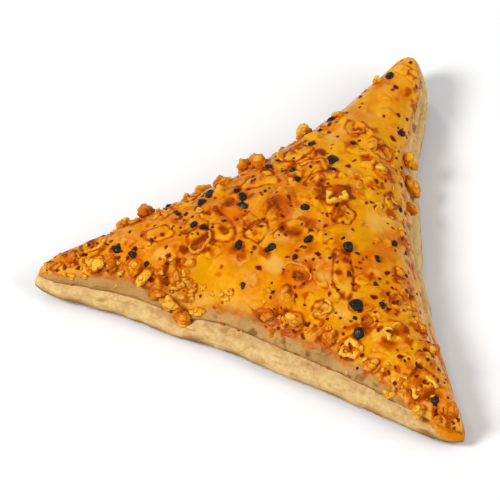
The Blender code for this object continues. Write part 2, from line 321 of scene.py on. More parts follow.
def plan_points(weights, mid_inset, tip_inset):
    """Where weights, one row a point, lie in plan on the outline drawn in by those insets."""
    soft = softening_length()
    sharp_radius = SIDE / math.sqrt(3) + soft / 2
    height = 1.5 * sharp_radius
    points = np.zeros((len(weights), 2))
    for tip in range(3):
        from_tip = (1 - weights[:, tip]) * height
        drawn_in = np.clip(soft - from_tip, 0, None) ** 2 / (2 * soft)
        reach = sharp_radius + TIP_REACH[tip] - tip_inset
        points += np.outer(weights[:, tip] * reach - drawn_in, tip_direction(tip))
    for side, (first, second, opposite) in enumerate(SIDES):
        _, along = side_share(weights, side)
        wave = [noise.noise((t * SIDE / EDGE_WAVE_LENGTH, 7.0 * opposite, 0.0)) for t in along]
        hollow = SIDE_HOLLOW[side] * (1 + SIDE_SKEW[side] * (2 * along - 1))
        depth = mid_inset * SIDE_SETBACK[side] + hollow + EDGE_WAVE * np.array(wave)
        share = 4 * weights[:, first] * weights[:, second]
        points += np.outer(share * depth, tip_direction(opposite))
    nearness, along = side_share(weights, SWELL_SIDE)
    swell = bell(along - SWELL_CENTRE, SWELL_HALF_LENGTH) * bell(1 - nearness, SWELL_DEPTH)
    return points - np.outer(SWELL_OUTWARD * swell, tip_direction(SIDES[SWELL_SIDE][2]))


def fullness(weights):
    """0 at a tip, 1 at the middle of a side and a little more inside."""
    left, right, far = weights.T
    return np.sqrt(np.clip(4 * (left * right + right * far + far * left), 0, None))


def tip_lift(weights):
    """How far each point is raised by a tip that curls up."""
    rise = np.clip((weights - TIP_LIFT_FROM) / (1 - TIP_LIFT_FROM), 0, None) ** 2
    return rise @ np.array(TIP_LIFT)


def sagged(weights, height):
    """The height at each point, lower where the crust hangs down over the front lip."""
    nearness, along = side_share(weights, 0)
    half_length = np.where(along < SAG_PLACE, SAG_HALF_LENGTHS[0], SAG_HALF_LENGTHS[1])
    sag = np.exp(-np.abs((along - SAG_PLACE) / half_length) ** 1.5) * bell(1 - nearness, SAG_WIDTH)
    return height * (1 - SAG_DEPTH * sag)


def crust_points(weights):
    """The points of the crust's upper surface, without the pieces on it."""
    (mid_inset, mid_height), (tip_inset, tip_height) = SIDE_PROFILE[CRUST_ROW]
    flat = plan_points(weights, mid_inset, tip_inset)
    dome = np.clip(27 * weights.prod(axis=1), 0, None) ** DOME_ROUNDNESS
    lumps = ripples(on_level(flat), LUMP_LENGTH)
    height = tip_height + (mid_height - tip_height) * fullness(weights)
    height += DOME_HEIGHT * dome + LUMP_HEIGHT * lumps * dome + tip_lift(weights)
    return np.column_stack([flat, sagged(weights, height)])


def profile_at(row):
    """SIDE_PROFILE at a row that may lie between two of its own, on a smooth curve through them."""
    rows = np.array(SIDE_PROFILE).reshape(len(SIDE_PROFILE), 4)
    last = len(rows) - 1
    start = min(int(row), last - 1)
    before, here, there, after = (rows[min(max(start + i, 0), last)] for i in (-1, 0, 1, 2))
    t = row - start
    curve = 2 * here + (there - before) * t
    curve += (2 * before - 5 * here + 4 * there - after) * t ** 2
    curve += (3 * here - before - 3 * there + after) * t ** 3
    mid_inset, mid_height, tip_inset, tip_height = curve / 2
    return (mid_inset, mid_height), (tip_inset, tip_height)


def side_loop(weights, profile_row):
    """One closed loop of the side, at one (inset, height) pair for mid side and tip."""
    (mid_inset, mid_height), (tip_inset, tip_height) = profile_row
    height = tip_height + (mid_height - tip_height) * fullness(weights) + tip_lift(weights)
    return np.column_stack([plan_points(weights, mid_inset, tip_inset), sagged(weights, height)])


def triangle_grid(count):
    """The weights of a triangular grid, its triangles, and its edge once round from the left tip."""
    index = {}
    weights = []
    for row in range(count + 1):
        for column in range(count + 1 - row):
            index[row, column] = len(weights)
            weights.append((1 - (row + column) / count, column / count, row / count))
    triangles = []
    for (row, column), here in index.items():
        if row + column < count:
            right, up = index[row, column + 1], index[row + 1, column]
            triangles.append((here, right, up))
            if row + column < count - 1:
                triangles.append((right, index[row + 1, column + 1], up))
    along_front = [index[0, i] for i in range(count)]
    up_right = [index[i, count - i] for i in range(count)]
    down_left = [index[count - i, 0] for i in range(count)]
    return np.array(weights), triangles, along_front + up_right + down_left


def solid_move():
    """From the plan's own middle to the frame's origin, under the middle of the bare pastry's box."""
    weights, _, edge = triangle_grid(SOLID_GRID)
    loops = np.vstack([side_loop(weights[edge], row) for row in SIDE_PROFILE])
    low, high = loops.min(axis=0), loops.max(axis=0)
    return np.array([-(low[0] + high[0]) / 2, -(low[1] + high[1]) / 2, 0.0])


MOVE = solid_move()


def crust_plan(weights):
    """Where one point of the crust lies in plan."""
    (mid_inset, _), (tip_inset, _) = SIDE_PROFILE[CRUST_ROW]
    return plan_points(weights, mid_inset, tip_inset)[0]


def is_clear(place, width, placed):
    """Whether a piece of that width leaves the pieces placed before it enough room."""
    gaps = ((math.dist(place, other), (width + wide) / 2) for _, wide, other, _, _ in placed)
    return all(gap > TOPPING_GAP * needed for gap, needed in gaps)


def placed_toppings():
    """Every piece that the solid has on its crust: (kind, width, plan, weights, spin)."""
    draw = random.Random(SCATTER_SEED)
    placed = []
    for kind, width, right, far in (*LARGE_PIECES, *(("seed", *seed) for seed in LARGE_SEEDS)):
        weights = weights_at(right, far)
        placed.append((kind, width, crust_plan(weights), weights, draw.uniform(0, math.tau)))
    for kind, count, smallest, largest in TOPPINGS:
        for number in range(count):
            width = largest - (largest - smallest) * math.sqrt(number / count)
            for _ in range(TOPPING_TRIES):
                weights = anywhere(draw)
                place = crust_plan(weights)
                patch = 0.75 + 0.9 * noise.noise(Vector((*place, 0.02)) / CRUMB_PATCH_LENGTH)
                inside = weights.min() > TOPPING_CLEARANCE
                if inside and draw.random() < patch and is_clear(place, width, placed):
                    placed.append((kind, width, place, weights, draw.uniform(0, math.tau)))
                    break
    return placed


TOPPINGS_PLACED = placed_toppings()


# The fine surface of the crust


# A step in weights that is small beside any piece.
SMALL_STEP = 1e-3


def random_way(draw, axes):
    """A random direction in that many axes."""
    way = np.array([draw.gauss(0, 1) for _ in range(axes)])
    return way / np.linalg.norm(way)


def angular_reach(directions, draw, sides, nearest, farthest):
    """How far a shape with that many flat sides reaches in each direction, its middle being at 0."""
    total = np.full(len(directions), 0.05)
    for _ in range(sides):
        facing = np.clip(directions @ random_way(draw, directions.shape[1]), 0, None)
        total += (facing / draw.uniform(nearest, farthest)) ** 10
    return total ** -0.1


def squared(here, there, aside):
    """A point, and two directions from it, to there and square to that towards aside."""
    first = (there - here) / np.linalg.norm(there - here)
    second = (aside - here) - ((aside - here) @ first) * first
    return here, first, second / np.linalg.norm(second)


def crust_frame(weights):
    """One place of the crust, and two directions along the crust there, square to each other."""
    steps = SMALL_STEP * np.array([[0.0, 0.0, 0.0], [-1.0, 1.0, 0.0], [-1.0, 0.0, 1.0]])
    return squared(*crust_points(weights + steps))


def side_frame(side, along, drop):
    """The same for a place on a side between the crust's edge, at 0, and the groove, at 1."""
    weights = np.vstack([side_weights(side, along), side_weights(side, along + SMALL_STEP)])
    row = CRUST_ROW + (GROOVE_ROW - CRUST_ROW) * drop
    here, there = side_loop(weights, profile_at(row))
    aside = side_loop(weights[:1], profile_at(row - 0.05))[0]
    return squared(here, there, aside)


class Surface:
    """Points of the crust, with how far each is raised and the shades that its material reads."""

    def __init__(self, points):
        self.points = points
        # dark sums browning and painted shade, and light sums painted highlights and a paler glaze.
        self.rise, self.dark, self.light, self.spot = (np.zeros(len(points)) for _ in range(4))

    def offsets(self, place, width, stretch, turn, raggedness, seed, sides=0):
        """The points near a piece, and how far out each lies: 0 at its middle, 1 on its outline."""
        centre, first, second = place
        away = self.points - centre
        found = np.nonzero((away ** 2).sum(axis=1) < (width * stretch * 1.1) ** 2)[0]
        x, y = away[found] @ first, away[found] @ second
        cos, sin = math.cos(turn), math.sin(turn)
        u = (x * cos + y * sin) / stretch
        v = (y * cos - x * sin) * stretch
        far = np.hypot(u, v)
        way = np.column_stack([u, v]) / (far[:, None] + 1e-6)
        wobble = 1 + raggedness * ripples(on_level(way * 1.3, seed), 1.0, seed)
        if sides:
            wobble *= angular_reach(way, random.Random(seed), sides, 0.75, 1.1)
        return found, far / (width / 2) / wobble


def add_inclusion(surface, place, width, turn, stretch, seed, boldness):
    """A flat piece under the glaze: a low plateau with a darker gutter round it, of browning and painted
    shade, and painted highlights on its rim and top.
    """
    found, out = surface.offsets(place, width, stretch, turn, 0.25, seed, 6)
    rough = ripples(surface.points[found], 0.0010, seed)
    coarse = ripples(surface.points[found], 0.0024, seed + 3)
    top = 1 - smoothstep(0.66, 1.0, out)
    gutter = bell(out - 1.06, 0.12)
    surface.rise[found] += width * (0.065 * top * (1 + 0.6 * rough + 0.7 * coarse) - 0.030 * gutter)
    surface.dark[found] += gutter * np.clip(0.8 * boldness + 0.8 * rough, 0, 0.2 + boldness)
    surface.dark[found] += 0.45 * top * smoothstep(0.0, 0.6, rough)
    rim = bell(out - 0.78, 0.13) * np.clip(0.6 - coarse, 0, 1)
    surface.light[found] += (0.4 + boldness) * rim + 0.35 * top * smoothstep(0.1, 0.6, -rough)


def add_seat(surface, place, width, dark, seed):
    """Where a loose piece sits: the glaze climbs up to it, and painted shade darkens the corner round it.
    """
    found, out = surface.offsets(place, width, 1.0, 0.0, 0.12, seed)
    surface.rise[found] += 0.055 * width * bell(out - 0.85, 0.30)
    patchy = np.clip(0.6 + ripples(surface.points[found], 0.0016, seed), 0, 1)
    surface.dark[found] += dark * patchy * bell(out - 1.02, 0.17)


def add_slit(surface, place, width, turn, seed):
    """A slit across a flat piece, sunk in and darker inside."""
    found, out = surface.offsets(place, width, 1.9, turn, 0.2, seed)
    inside = 1 - smoothstep(0.3, 1.1, out)
    surface.rise[found] -= 0.16 * width * inside
    surface.dark[found] += 1.2 * inside


def add_pit(surface, place, width, seed):
    """The hollow inside a burst bubble, painted dark as shade, with painted highlights in places."""
    found, out = surface.offsets(place, width, 1.0, 0.0, 0.12, seed)
    inside = 1 - smoothstep(0.25, 0.75, out)
    grit = ripples(surface.points[found], 0.0007, seed)
    surface.rise[found] += width * inside * (0.05 * grit - 0.04)
    surface.dark[found] += inside * np.clip(0.45 + 0.8 * grit, 0, 0.8)
    surface.light[found] += 0.6 * inside * np.clip(-grit, 0, 1)


def add_glazed_lump(surface, place, width, seed):
    """A lump of crumb that the glaze has run over, with painted shade round its foot and a painted
    highlight on its top.
    """
    draw = random.Random(seed)
    stretch, turn = draw.uniform(1.0, 1.3), draw.uniform(0, math.pi)
    found, out = surface.offsets(place, width * 1.1, stretch, turn, 0.25, seed, 6)
    rough = ripples(surface.points[found], 0.0010, seed)
    top = np.clip(1 - out ** 3, 0, 1)
    surface.rise[found] += 0.27 * width * top * (1 + 0.4 * rough)
    surface.dark[found] += bell(out - 1.06, 0.16) * np.clip(0.20 + 0.8 * rough, 0, 0.55)
    surface.light[found] += 0.8 * top * smoothstep(-0.2, 0.5, rough)


def add_blister(surface, place, width, seed):
    """A low bubble in the glaze, with painted shade round its foot and a painted highlight on its top."""
    draw = random.Random(seed)
    stretch, turn = draw.uniform(1.0, 1.45), draw.uniform(0, math.pi)
    found, out = surface.offsets(place, width, stretch, turn, 0.25, seed, draw.choice((0, 5, 6)))
    top = np.clip(1 - out ** 3, 0, 1)
    surface.rise[found] += draw.uniform(0.07, 0.15) * width * top
    surface.dark[found] += draw.uniform(0.0, 0.25) * bell(out - 1.10, 0.2)
    surface.light[found] += draw.uniform(0.0, 0.7) * top


def add_spot(surface, place, width, seed):
    """A fleck of spice in the glaze."""
    found, out = surface.offsets(place, width, 1.1, seed, 0.3, seed, 5)
    inside = 1 - smoothstep(0.3, 1.25, out)
    surface.rise[found] += 0.06 * width * inside
    strength = random.Random(seed).uniform(0.6, 1.0) * inside
    surface.spot[found] = np.maximum(surface.spot[found], strength)


# What is scattered in the glaze: count, smallest and largest width.
BLISTERS = (150, 0.0010, 0.0032)
BURIED_FLAKES = (40, 0.0020, 0.0046)
SPOTS = (250, 0.0006, 0.0014)
BROWN_SPOTS = (300, 0.0010, 0.0036)
FINE_SEED = 7
# The share of the scattered things that are drawn towards a side, and the share that is left out
# in the smooth places.
EDGE_BIAS = 0.3
CALM_CLEARING = 0.8
# The steep sides that have their own scatter, the front one twice as often, and how much sparser.
GLAZED_SIDES = (0, 0, 1)
SIDE_THINNING = 6
GRAIN_LENGTH = 0.0023
GRAIN_HEIGHT = 0.00038
GRAIN_PATCH_LENGTH = 0.010
# The unevenness of the whole crust: height, length and seed.
CRUST_WAVES = ((0.00036, 0.0080, 3.1), (0.00030, 0.0036, 5.3), (0.00008, 0.0013, 8.7))
# The smooth places: shares towards the right tip and the far tip, and radius in shares.
CALM_PLACES = (
    (0.38, 0.08, 0.085),
    (0.38, 0.20, 0.055),
    (0.56, 0.13, 0.050),
    (0.48, 0.41, 0.085),
    (0.26, 0.61, 0.060),
    (0.12, 0.79, 0.100),
    (0.04, 0.92, 0.080),
    (0.90, 0.06, 0.045),
    (0.20, 0.05, 0.045),
    (0.08, 0.20, 0.050),
)
# The places where the glaze is thin and paler: the same two shares and radius.
PALE_PLACES = (
    (0.41, 0.16, 0.035),
    (0.52, 0.19, 0.030),
    (0.44, 0.46, 0.050),
    (0.13, 0.64, 0.040),
    (0.21, 0.10, 0.025),
)
# The brown patches: the same two shares and width.
BROWN_PATCHES = (
    (0.27, 0.34, 0.0076),
    (0.23, 0.36, 0.0040),
    (0.24, 0.15, 0.0050),
    (0.48, 0.16, 0.0046),
    (0.74, 0.10, 0.0040),
)
# The lumps that stand free of the glaze: those with a smallest weight below this, and two by number.
FREE_SHARE = 0.055
FREE_LUMPS = (16, 23)
# The stretch and the turn of two flakes, by number, and the cup with a slit across it.
FLAKE_SHAPES = {2: (1.48, -0.75), 6: (1.38, -0.98)}
SLIT_CUP = 1
SLIT_TURN = 1.0
# How flat a free lump is.
FLATNESS = 0.72


def stands_free(number):
    """Whether that lump of the solid stands free of the glaze, as those near a side do."""
    return number in FREE_LUMPS or TOPPINGS_PLACED[number][3].min() < FREE_SHARE


def closeness(weights, places):
    """1 at those places of the crust and 0 well away from them."""
    near = np.zeros(len(weights))
    for right, far, radius in places:
        right_way, far_way = weights[:, 1] - right, weights[:, 2] - far
        spread = (right_way ** 2 + far_way ** 2 + right_way * far_way) / radius ** 2
        near = np.maximum(near, np.exp(-spread ** 2))
    return near


def random_weights(draw):
    """Somewhere on the crust, more often near a side, where it is steep, and seldom where it is calm."""
    while True:
        weights = anywhere(draw)
        if draw.random() < EDGE_BIAS:
            weights[0, draw.randrange(3)] *= 0.15
        weights /= weights.sum()
        if draw.random() > CALM_CLEARING * closeness(weights, CALM_PLACES)[0]:
            return weights


def add_grains(surface, crowd, calm):
    """Patches of packed grains under the glaze, each grain a low bump with painted shade in the gap round
    it and a painted highlight in its middle.
    """
    spread = surface.points
    patch = smoothstep(0.16, 0.55, ripples(spread, GRAIN_PATCH_LENGTH, 21.0) + crowd - 0.6 * calm)
    bent = spread + 0.0005 * np.column_stack([ripples(spread, 0.0017, s) for s in (31.0, 47.0, 53.0)])
    near, gap = [], []
    for place in (bent / GRAIN_LENGTH).tolist():
        distances, _ = noise.voronoi(place)
        near.append(distances[0])
        gap.append(distances[1] - distances[0])
    near, gap = np.array(near), np.array(gap)
    size = 0.5 + 0.9 * ripples(spread, 0.0030, 37.0)
    surface.rise += GRAIN_HEIGHT * patch * (1 - np.clip(near, 0, 1) ** 2) * size
    seam = 1 - smoothstep(0.02, 0.22, gap)
    surface.dark += patch * np.clip(seam * (0.05 + 1.1 * ripples(spread, 0.0028, 41.0)), 0, 0.45)
    surface.light += 0.5 * patch * smoothstep(0.45, 0.1, near) * np.clip(size, 0, 1)


def add_brown_spot(surface, place, width, seed):
    """A blotch where the glaze has browned."""
    found, out = surface.offsets(place, width, 1.15, seed, 0.4, seed)
    surface.dark[found] += random.Random(seed).uniform(0.2, 0.8) * (1 - smoothstep(0.3, 1.1, out))


def add_buried_flake(surface, place, width, seed):
    """A flat piece under the glaze, fainter than the listed ones."""
    draw = random.Random(seed)
    turn, stretch = draw.uniform(0, math.pi), draw.uniform(1.05, 1.35)
    add_inclusion(surface, place, width, turn, stretch, seed, draw.uniform(0.1, 0.45))


def add_drifts(surface, weights):
    """Broad darker and lighter drifts, and grains that are thickest along the front side."""
    nearness, along = side_share(weights, 0)
    front = smoothstep(0.90, 0.975, nearness) * (1 - bell(along - 0.41, 0.05))
    front *= 1 - smoothstep(0.72, 0.88, weights.max(axis=1))
    add_grains(surface, 0.75 * front + 0.10, closeness(weights, CALM_PLACES))
    drift = 0.5 + ripples(surface.points, 0.0030, 61.0)
    surface.dark += np.clip(0.26 * front * drift, 0, 1)
    # Paler towards the far tip and near the tips: partly a paler glaze and partly painted light.
    surface.light += np.clip(0.90 * smoothstep(0.30, 0.75, weights[:, 2]) * drift, 0, 1)
    near_tips = smoothstep(0.50, 0.80, weights[:, :2].max(axis=1))
    surface.light += np.clip(0.65 * near_tips * drift, 0, 1)


def add_topping(surface, number):
    """What one piece of the solid leaves in the crust: itself, or the seat that it stands in."""
    kind, width, _, weights, spin = TOPPINGS_PLACED[number]
    place = crust_frame(weights)
    if kind == "flake":
        stretch, turn = FLAKE_SHAPES.get(number, (1.2, spin))
        boldness = 0.9 if number < len(LARGE_PIECES) else 0.4
        add_inclusion(surface, place, width * 1.05, turn, stretch, number, boldness)
    elif number == SLIT_CUP:
        add_seat(surface, place, width * 1.05, 0.9, number)
        add_slit(surface, place, width * 0.5, SLIT_TURN, number)
    elif kind == "ring":
        add_seat(surface, place, width * 1.05, 0.95, number)
        add_pit(surface, place, width * 0.75, number)
    elif kind == "seed":
        add_seat(surface, place, width * 0.95, 0.75, number)
    elif stands_free(number):
        add_seat(surface, place, width, 0.65, number)
    else:
        add_glazed_lump(surface, place, width, number)


def add_scatter(surface):
    """Blisters, flakes, blotches and flecks, over the crust and then down its steep sides."""
    draw = random.Random(FINE_SEED)
    kinds = (
        (add_buried_flake, BURIED_FLAKES),
        (add_blister, BLISTERS),
        (add_brown_spot, BROWN_SPOTS),
        (add_spot, SPOTS),
    )
    for make, (count, smallest, largest) in kinds:
        for number in range(count):
            place = crust_frame(random_weights(draw))
            width = smallest + (largest - smallest) * draw.random() ** 1.5
            make(surface, place, width, 500 + number)
    for make, (count, smallest, largest) in kinds:
        for number in range(count // SIDE_THINNING):
            side = draw.choice(GLAZED_SIDES)
            place = side_frame(side, draw.uniform(0.36, 0.97), draw.uniform(-0.1, 0.9))
            make(surface, place, draw.uniform(smallest, 0.7 * largest), 900 + number)


def crust_surface(points, weights):
    """The relief and the shades of the crust at points of it."""
    surface = Surface(points)
    for height, length, seed in CRUST_WAVES:
        surface.rise += height * ripples(points, length, seed)
    add_drifts(surface, weights)
    for number in range(len(TOPPINGS_PLACED)):
        add_topping(surface, number)
    for number, (right, far, width) in enumerate(BROWN_PATCHES):
        add_brown_spot(surface, crust_frame(weights_at(right, far)), width, 40 + number)
    add_scatter(surface)
    near_right_tip = smoothstep(0.62, 0.85, weights[:, 1])
    surface.dark *= 1 - 0.35 * near_right_tip
    return surface


# The two sheets

# The way down the upper sheet's side, from the crust's edge to the groove.
UPPER_FALL = 0.0038
# How far each sheet goes on inside the groove, out of sight, and how far up or down.
UPPER_TUCK = (0.0016, 0.0001)
LOWER_TUCK = (0.0020, -0.0001)
# Where the glaze runs further down: side, share along it, half length in shares, and how far.
GLAZE_RUNS = (
    (0, 0.345, 0.05, 0.0012),
    (0, 0.95, 0.13, 0.0036),
    (0, 1.02, 0.07, 0.0060),
    (1, 0.00, 0.36, 0.0090),
    (2, 0.95, 0.10, 0.0020),
)
# The layers of the bare pastry: length along them and across them.
LAYERS = (0.0030, 0.0030, 0.00055)
LAYER_SWELL = (0.0040, 0.0040, 0.0026)
LAYER_GRAIN = (0.0007, 0.0007, 0.00045)


def outward_normals(points, triangles):
    """The direction straight out of the mesh at each point."""
    corners = points[np.array(triangles)]
    crosses = np.cross(corners[:, 1] - corners[:, 0], corners[:, 2] - corners[:, 0])
    normals = np.zeros_like(points)
    for corner in range(3):
        np.add.at(normals, np.array(triangles)[:, corner], crosses)
    return normals / np.maximum(np.linalg.norm(normals, axis=1, keepdims=True), 1e-12)


def strip(lower, upper):
    """Triangles between two closed loops of indices that run the same way round."""
    faces = []
    for i in range(len(lower)):
        j = (i + 1) % len(lower)
        faces += [(lower[i], lower[j], upper[j]), (lower[i], upper[j], upper[i])]
    return faces


def layer_relief(points, path):
    """How far the layers of the bare pastry stand out, and the painted shade in the slits between them
    and in the low grain.
    """
    plan = points[:, :2]
    level = path + 0.00035 * ripples(on_level(plan), 0.008, 2.2)
    places = on_level(plan, level)
    streaks = ripples(places, LAYERS, 4.4)
    grain = ripples(places, LAYER_GRAIN, 2.7)
    slit = smoothstep(0.30, 0.62, -streaks)
    rise = 0.00007 * streaks + 0.00024 * ripples(places, LAYER_SWELL, 9.1)
    rise += 0.00008 * grain - 0.00016 * slit
    return rise, 0.45 * slit + 0.25 * np.clip(-grain, 0, 1)


def glaze_reach(weights):
    """How far the glaze runs down past the crust's edge, for each point."""
    plan = on_level(plan_points(weights, 0.0, 0.0))
    reach = 0.0007 * ripples(plan, 0.0045, 6.0) + 0.0004 * ripples(plan, 0.0013, 1.0)
    for side, along_middle, half_length, further in GLAZE_RUNS:
        nearness, along = side_share(weights, side)
        on_it = smoothstep(0.85, 1.0, nearness)
        reach += on_it * further * np.exp(-np.abs((along - along_middle) / half_length) ** 3)
    return reach


def glazed(weights, path, fade):
    """1 under the glaze and 0 well below it. The path is the way down from the crust's edge."""
    return 1 - smoothstep(-fade, fade, path - glaze_reach(weights))


def make_mesh(name, points, faces, shades):
    """An object with those points and faces, and each shade as an attribute of its points."""
    mesh = bpy.data.meshes.new(name)
    mesh.from_pydata(points.tolist(), [], faces)
    for shade, values in shades.items():
        layer = mesh.attributes.new(shade, "FLOAT", "POINT")
        layer.data.foreach_set("value", np.asarray(values, dtype=np.float32))
    mesh.shade_smooth()
    made = bpy.data.objects.new(name, mesh)
    bpy.context.scene.collection.objects.link(made)
    return made


def crowded(weights):
    """The weights moved closer together towards the sides, where the crust is steep."""
    moved = weights ** EDGE_CROWDING
    return moved / moved.sum(axis=1, keepdims=True)


def way_down(first_row, last_row, count):
    """Profiles from one row of SIDE_PROFILE to another, and how far down the side each lies."""
    profiles = [profile_at(row) for row in np.linspace(first_row, last_row, count)]
    steps = [math.dist(above[0], below[0]) for above, below in zip(profiles, profiles[1:])]
    return profiles, np.concatenate([[0.0], np.cumsum(steps)])


def tucked(tuck):
    """The groove's profile moved further in, and up or down."""
    inwards, upwards = tuck
    return tuple((inset + inwards, height + upwards) for inset, height in SIDE_PROFILE[GROOVE_ROW])


def side_wall(top, edge_weights, profiles, total):
    """Loops down a side below the loop of indices called top: their points, triangles and last loop."""
    points, triangles = [], []
    for profile in profiles:
        points.append(side_loop(edge_weights, profile))
        lower = list(range(total, total + len(edge_weights)))
        triangles += strip(lower, top)
        top = lower
        total += len(lower)
    return points, triangles, top


def upper_shades(weights, path, fall, surface, slits):
    """What the pastry's material reads at each point of the upper sheet, and how bare each is."""
    glaze = glazed(weights, path, 0.0012)
    bare = smoothstep(-0.0008, 0.0004, path) * (1 - glaze)
    cloud = ripples(surface.points, 0.0042, 17.0)
    nearness, along = side_share(weights, 0)
    front = smoothstep(0.98, 1.0, nearness) * (1 - 0.2 * smoothstep(0.30, 0.42, along))
    on_right_side = smoothstep(0.9, 1.0, side_share(weights, 1)[0])
    near_groove = smoothstep(fall - 0.0009, fall, path)
    thin = smoothstep(-0.0060, 0.0004, path)
    return bare, {
        "glaze": glaze,
        # Painted shade on the bare band under the crust's edge, most along the front and none on the
        # right side.
        "tan": (0.18 + 0.50 * front) * (1 - on_right_side),
        "calm": closeness(weights, CALM_PLACES),
        "dark": np.clip(0.3 * slits * bare + surface.dark, 0, 1),
        "light": np.clip(surface.light, 0, 1),
        "spot": surface.spot,
        "thin": np.maximum(thin, closeness(weights, PALE_PLACES)),
        # Darker in clouds, with painted shade towards the groove.
        "deep": np.clip(0.06 + 0.4 * cloud + 0.35 * near_groove, 0, 1),
    }


def upper_sheet():
    """The glazed crust with the upper layer's pale side below it, as one closed mesh."""
    weights, triangles, edge = triangle_grid(FINE_GRID)
    weights = crowded(weights)
    profiles, falls = way_down(CRUST_ROW, GROOVE_ROW, UPPER_ROWS)
    fall = falls[-1]
    wall = [*profiles[1:], tucked(UPPER_TUCK)]
    loops, sides, last = side_wall(edge, weights[edge], wall, len(weights))
    points = np.vstack([crust_points(weights), *loops])
    triangles += sides
    down = np.repeat([*falls[1:], fall + UPPER_TUCK[0]], len(edge))
    path = np.concatenate([-weights.min(axis=1) * PLAN_HEIGHT, down])
    weights = np.vstack([weights, np.tile(weights[edge], (len(wall), 1))])
    surface = crust_surface(points, weights)
    relief, slits = layer_relief(points, path)
    bare, shades = upper_shades(weights, path, fall, surface, slits)
    above_groove = smoothstep(fall, fall - 0.0009, path)
    held = 1 - smoothstep(fall - 0.0003, fall + 0.0012, path)
    rise = (relief * bare + surface.rise * (1 - bare) * above_groove) * held
    points = points + outward_normals(points, triangles) * rise[:, None] + MOVE
    return make_mesh("upper_sheet", points, [*triangles, last[::-1]], shades)


def base_fan(edge_weights, loop, corners):
    """Triangles from the foot's loop in to the three corners of the flat base."""
    triangles = []
    nearest = [corners + int(tip) for tip in edge_weights.argmax(axis=1)]
    for i in range(len(loop)):
        j = (i + 1) % len(loop)
        triangles.append((nearest[i], loop[j], loop[i]))
        if nearest[i] != nearest[j]:
            triangles.append((nearest[i], nearest[j], loop[j]))
    return triangles


def lower_shades(weights, path, fall, cloud, slits):
    """What the pastry's material reads at each point of the lower sheet."""
    # Painted shade just under the upper sheet, and along the foot toasting with painted shade.
    groove = 0.55 * (1 - smoothstep(-0.0008, 0.0005, path)) * np.clip(0.8 + cloud, 0, 1)
    foot = smoothstep(0.34 * fall, 0.66 * fall, path + 0.0009 * cloud)
    glaze = glazed(weights, path + UPPER_FALL, 0.0024)
    glaze *= 1 - smoothstep(0.42 * fall, 0.62 * fall, path)
    nothing = np.zeros(len(path))
    return {
        "glaze": glaze,
        "dark": np.clip(slits * (1 - 0.6 * glaze), 0, 1),
        "light": nothing,
        "spot": nothing,
        "thin": 0.3 * glaze,
        "tan": nothing,
        "deep": np.clip(groove + 0.90 * foot + 0.15 * cloud, 0, 1),
    }


def lower_sheet():
    """The bare lower layer, which stands out below the crust as a rounded lip, and the flat base."""
    weights, _, edge = triangle_grid(FINE_GRID)
    edge_weights = crowded(weights[edge])
    count = len(edge)
    profiles, falls = way_down(GROOVE_ROW, FOOT_ROW, LOWER_ROWS)
    fall = falls[-1]
    top = list(range(count))
    loops, triangles, foot = side_wall(top, edge_weights, profiles, count)
    corners = (len(loops) + 1) * count
    triangles += base_fan(edge_weights, foot, corners)
    base = [[*tip_direction(tip) * BASE_RADIUS, 0.0] for tip in range(3)]
    points = np.vstack([side_loop(edge_weights, tucked(LOWER_TUCK)), *loops, base])
    path = np.repeat([-LOWER_TUCK[0], *falls], count)
    path = np.concatenate([path, np.full(3, fall + 0.010)])
    weights = np.vstack([np.tile(edge_weights, (len(loops) + 1, 1)), np.eye(3)])
    relief, slits = layer_relief(points, path)
    held = smoothstep(-LOWER_TUCK[0], 0.0004, path) * (1 - smoothstep(fall - 0.0016, fall - 0.0002, path))
    shades = lower_shades(weights, path, fall, ripples(points, 0.0042, 23.0), slits * held)
    points = points + outward_normals(points, triangles) * (relief * held)[:, None] + MOVE
    faces = [*triangles, top, (corners + 2, corners + 1, corners)]
    return make_mesh("lower_sheet", points, faces, shades)


# Small pieces, joined by kind


class Gathered:
    """Many small closed meshes, which become one piece."""

    def __init__(self):
        self.points, self.faces, self.shades = [], [], {}
        self.total = 0

    def add(self, points, faces, matrix, **shades):
        """One more mesh, moved by the matrix, with a value or values for each shade."""
        spread = np.array(matrix)
        self.faces += (np.array(faces) + self.total).tolist()
        self.points.append(points @ spread[:3, :3].T + spread[:3, 3])
        self.total += len(points)
        for shade, values in shades.items():
            self.shades.setdefault(shade, []).append(np.broadcast_to(values, len(points)))

    def piece(self, name):
        shades = {shade: np.concatenate(values) for shade, values in self.shades.items()}
        return make_mesh(name, np.vstack(self.points), self.faces, shades)


BALLS = {}


def ball(level):
    """The points and triangles of a ball of radius 1, finer at higher levels."""
    if level not in BALLS:
        mesh = bmesh.new()
        bmesh.ops.create_icosphere(mesh, subdivisions=level, radius=1.0)
        points = np.array([v.co for v in mesh.verts])
        BALLS[level] = points, [[v.index for v in face.verts] for face in mesh.faces]
        mesh.free()
    return BALLS[level]


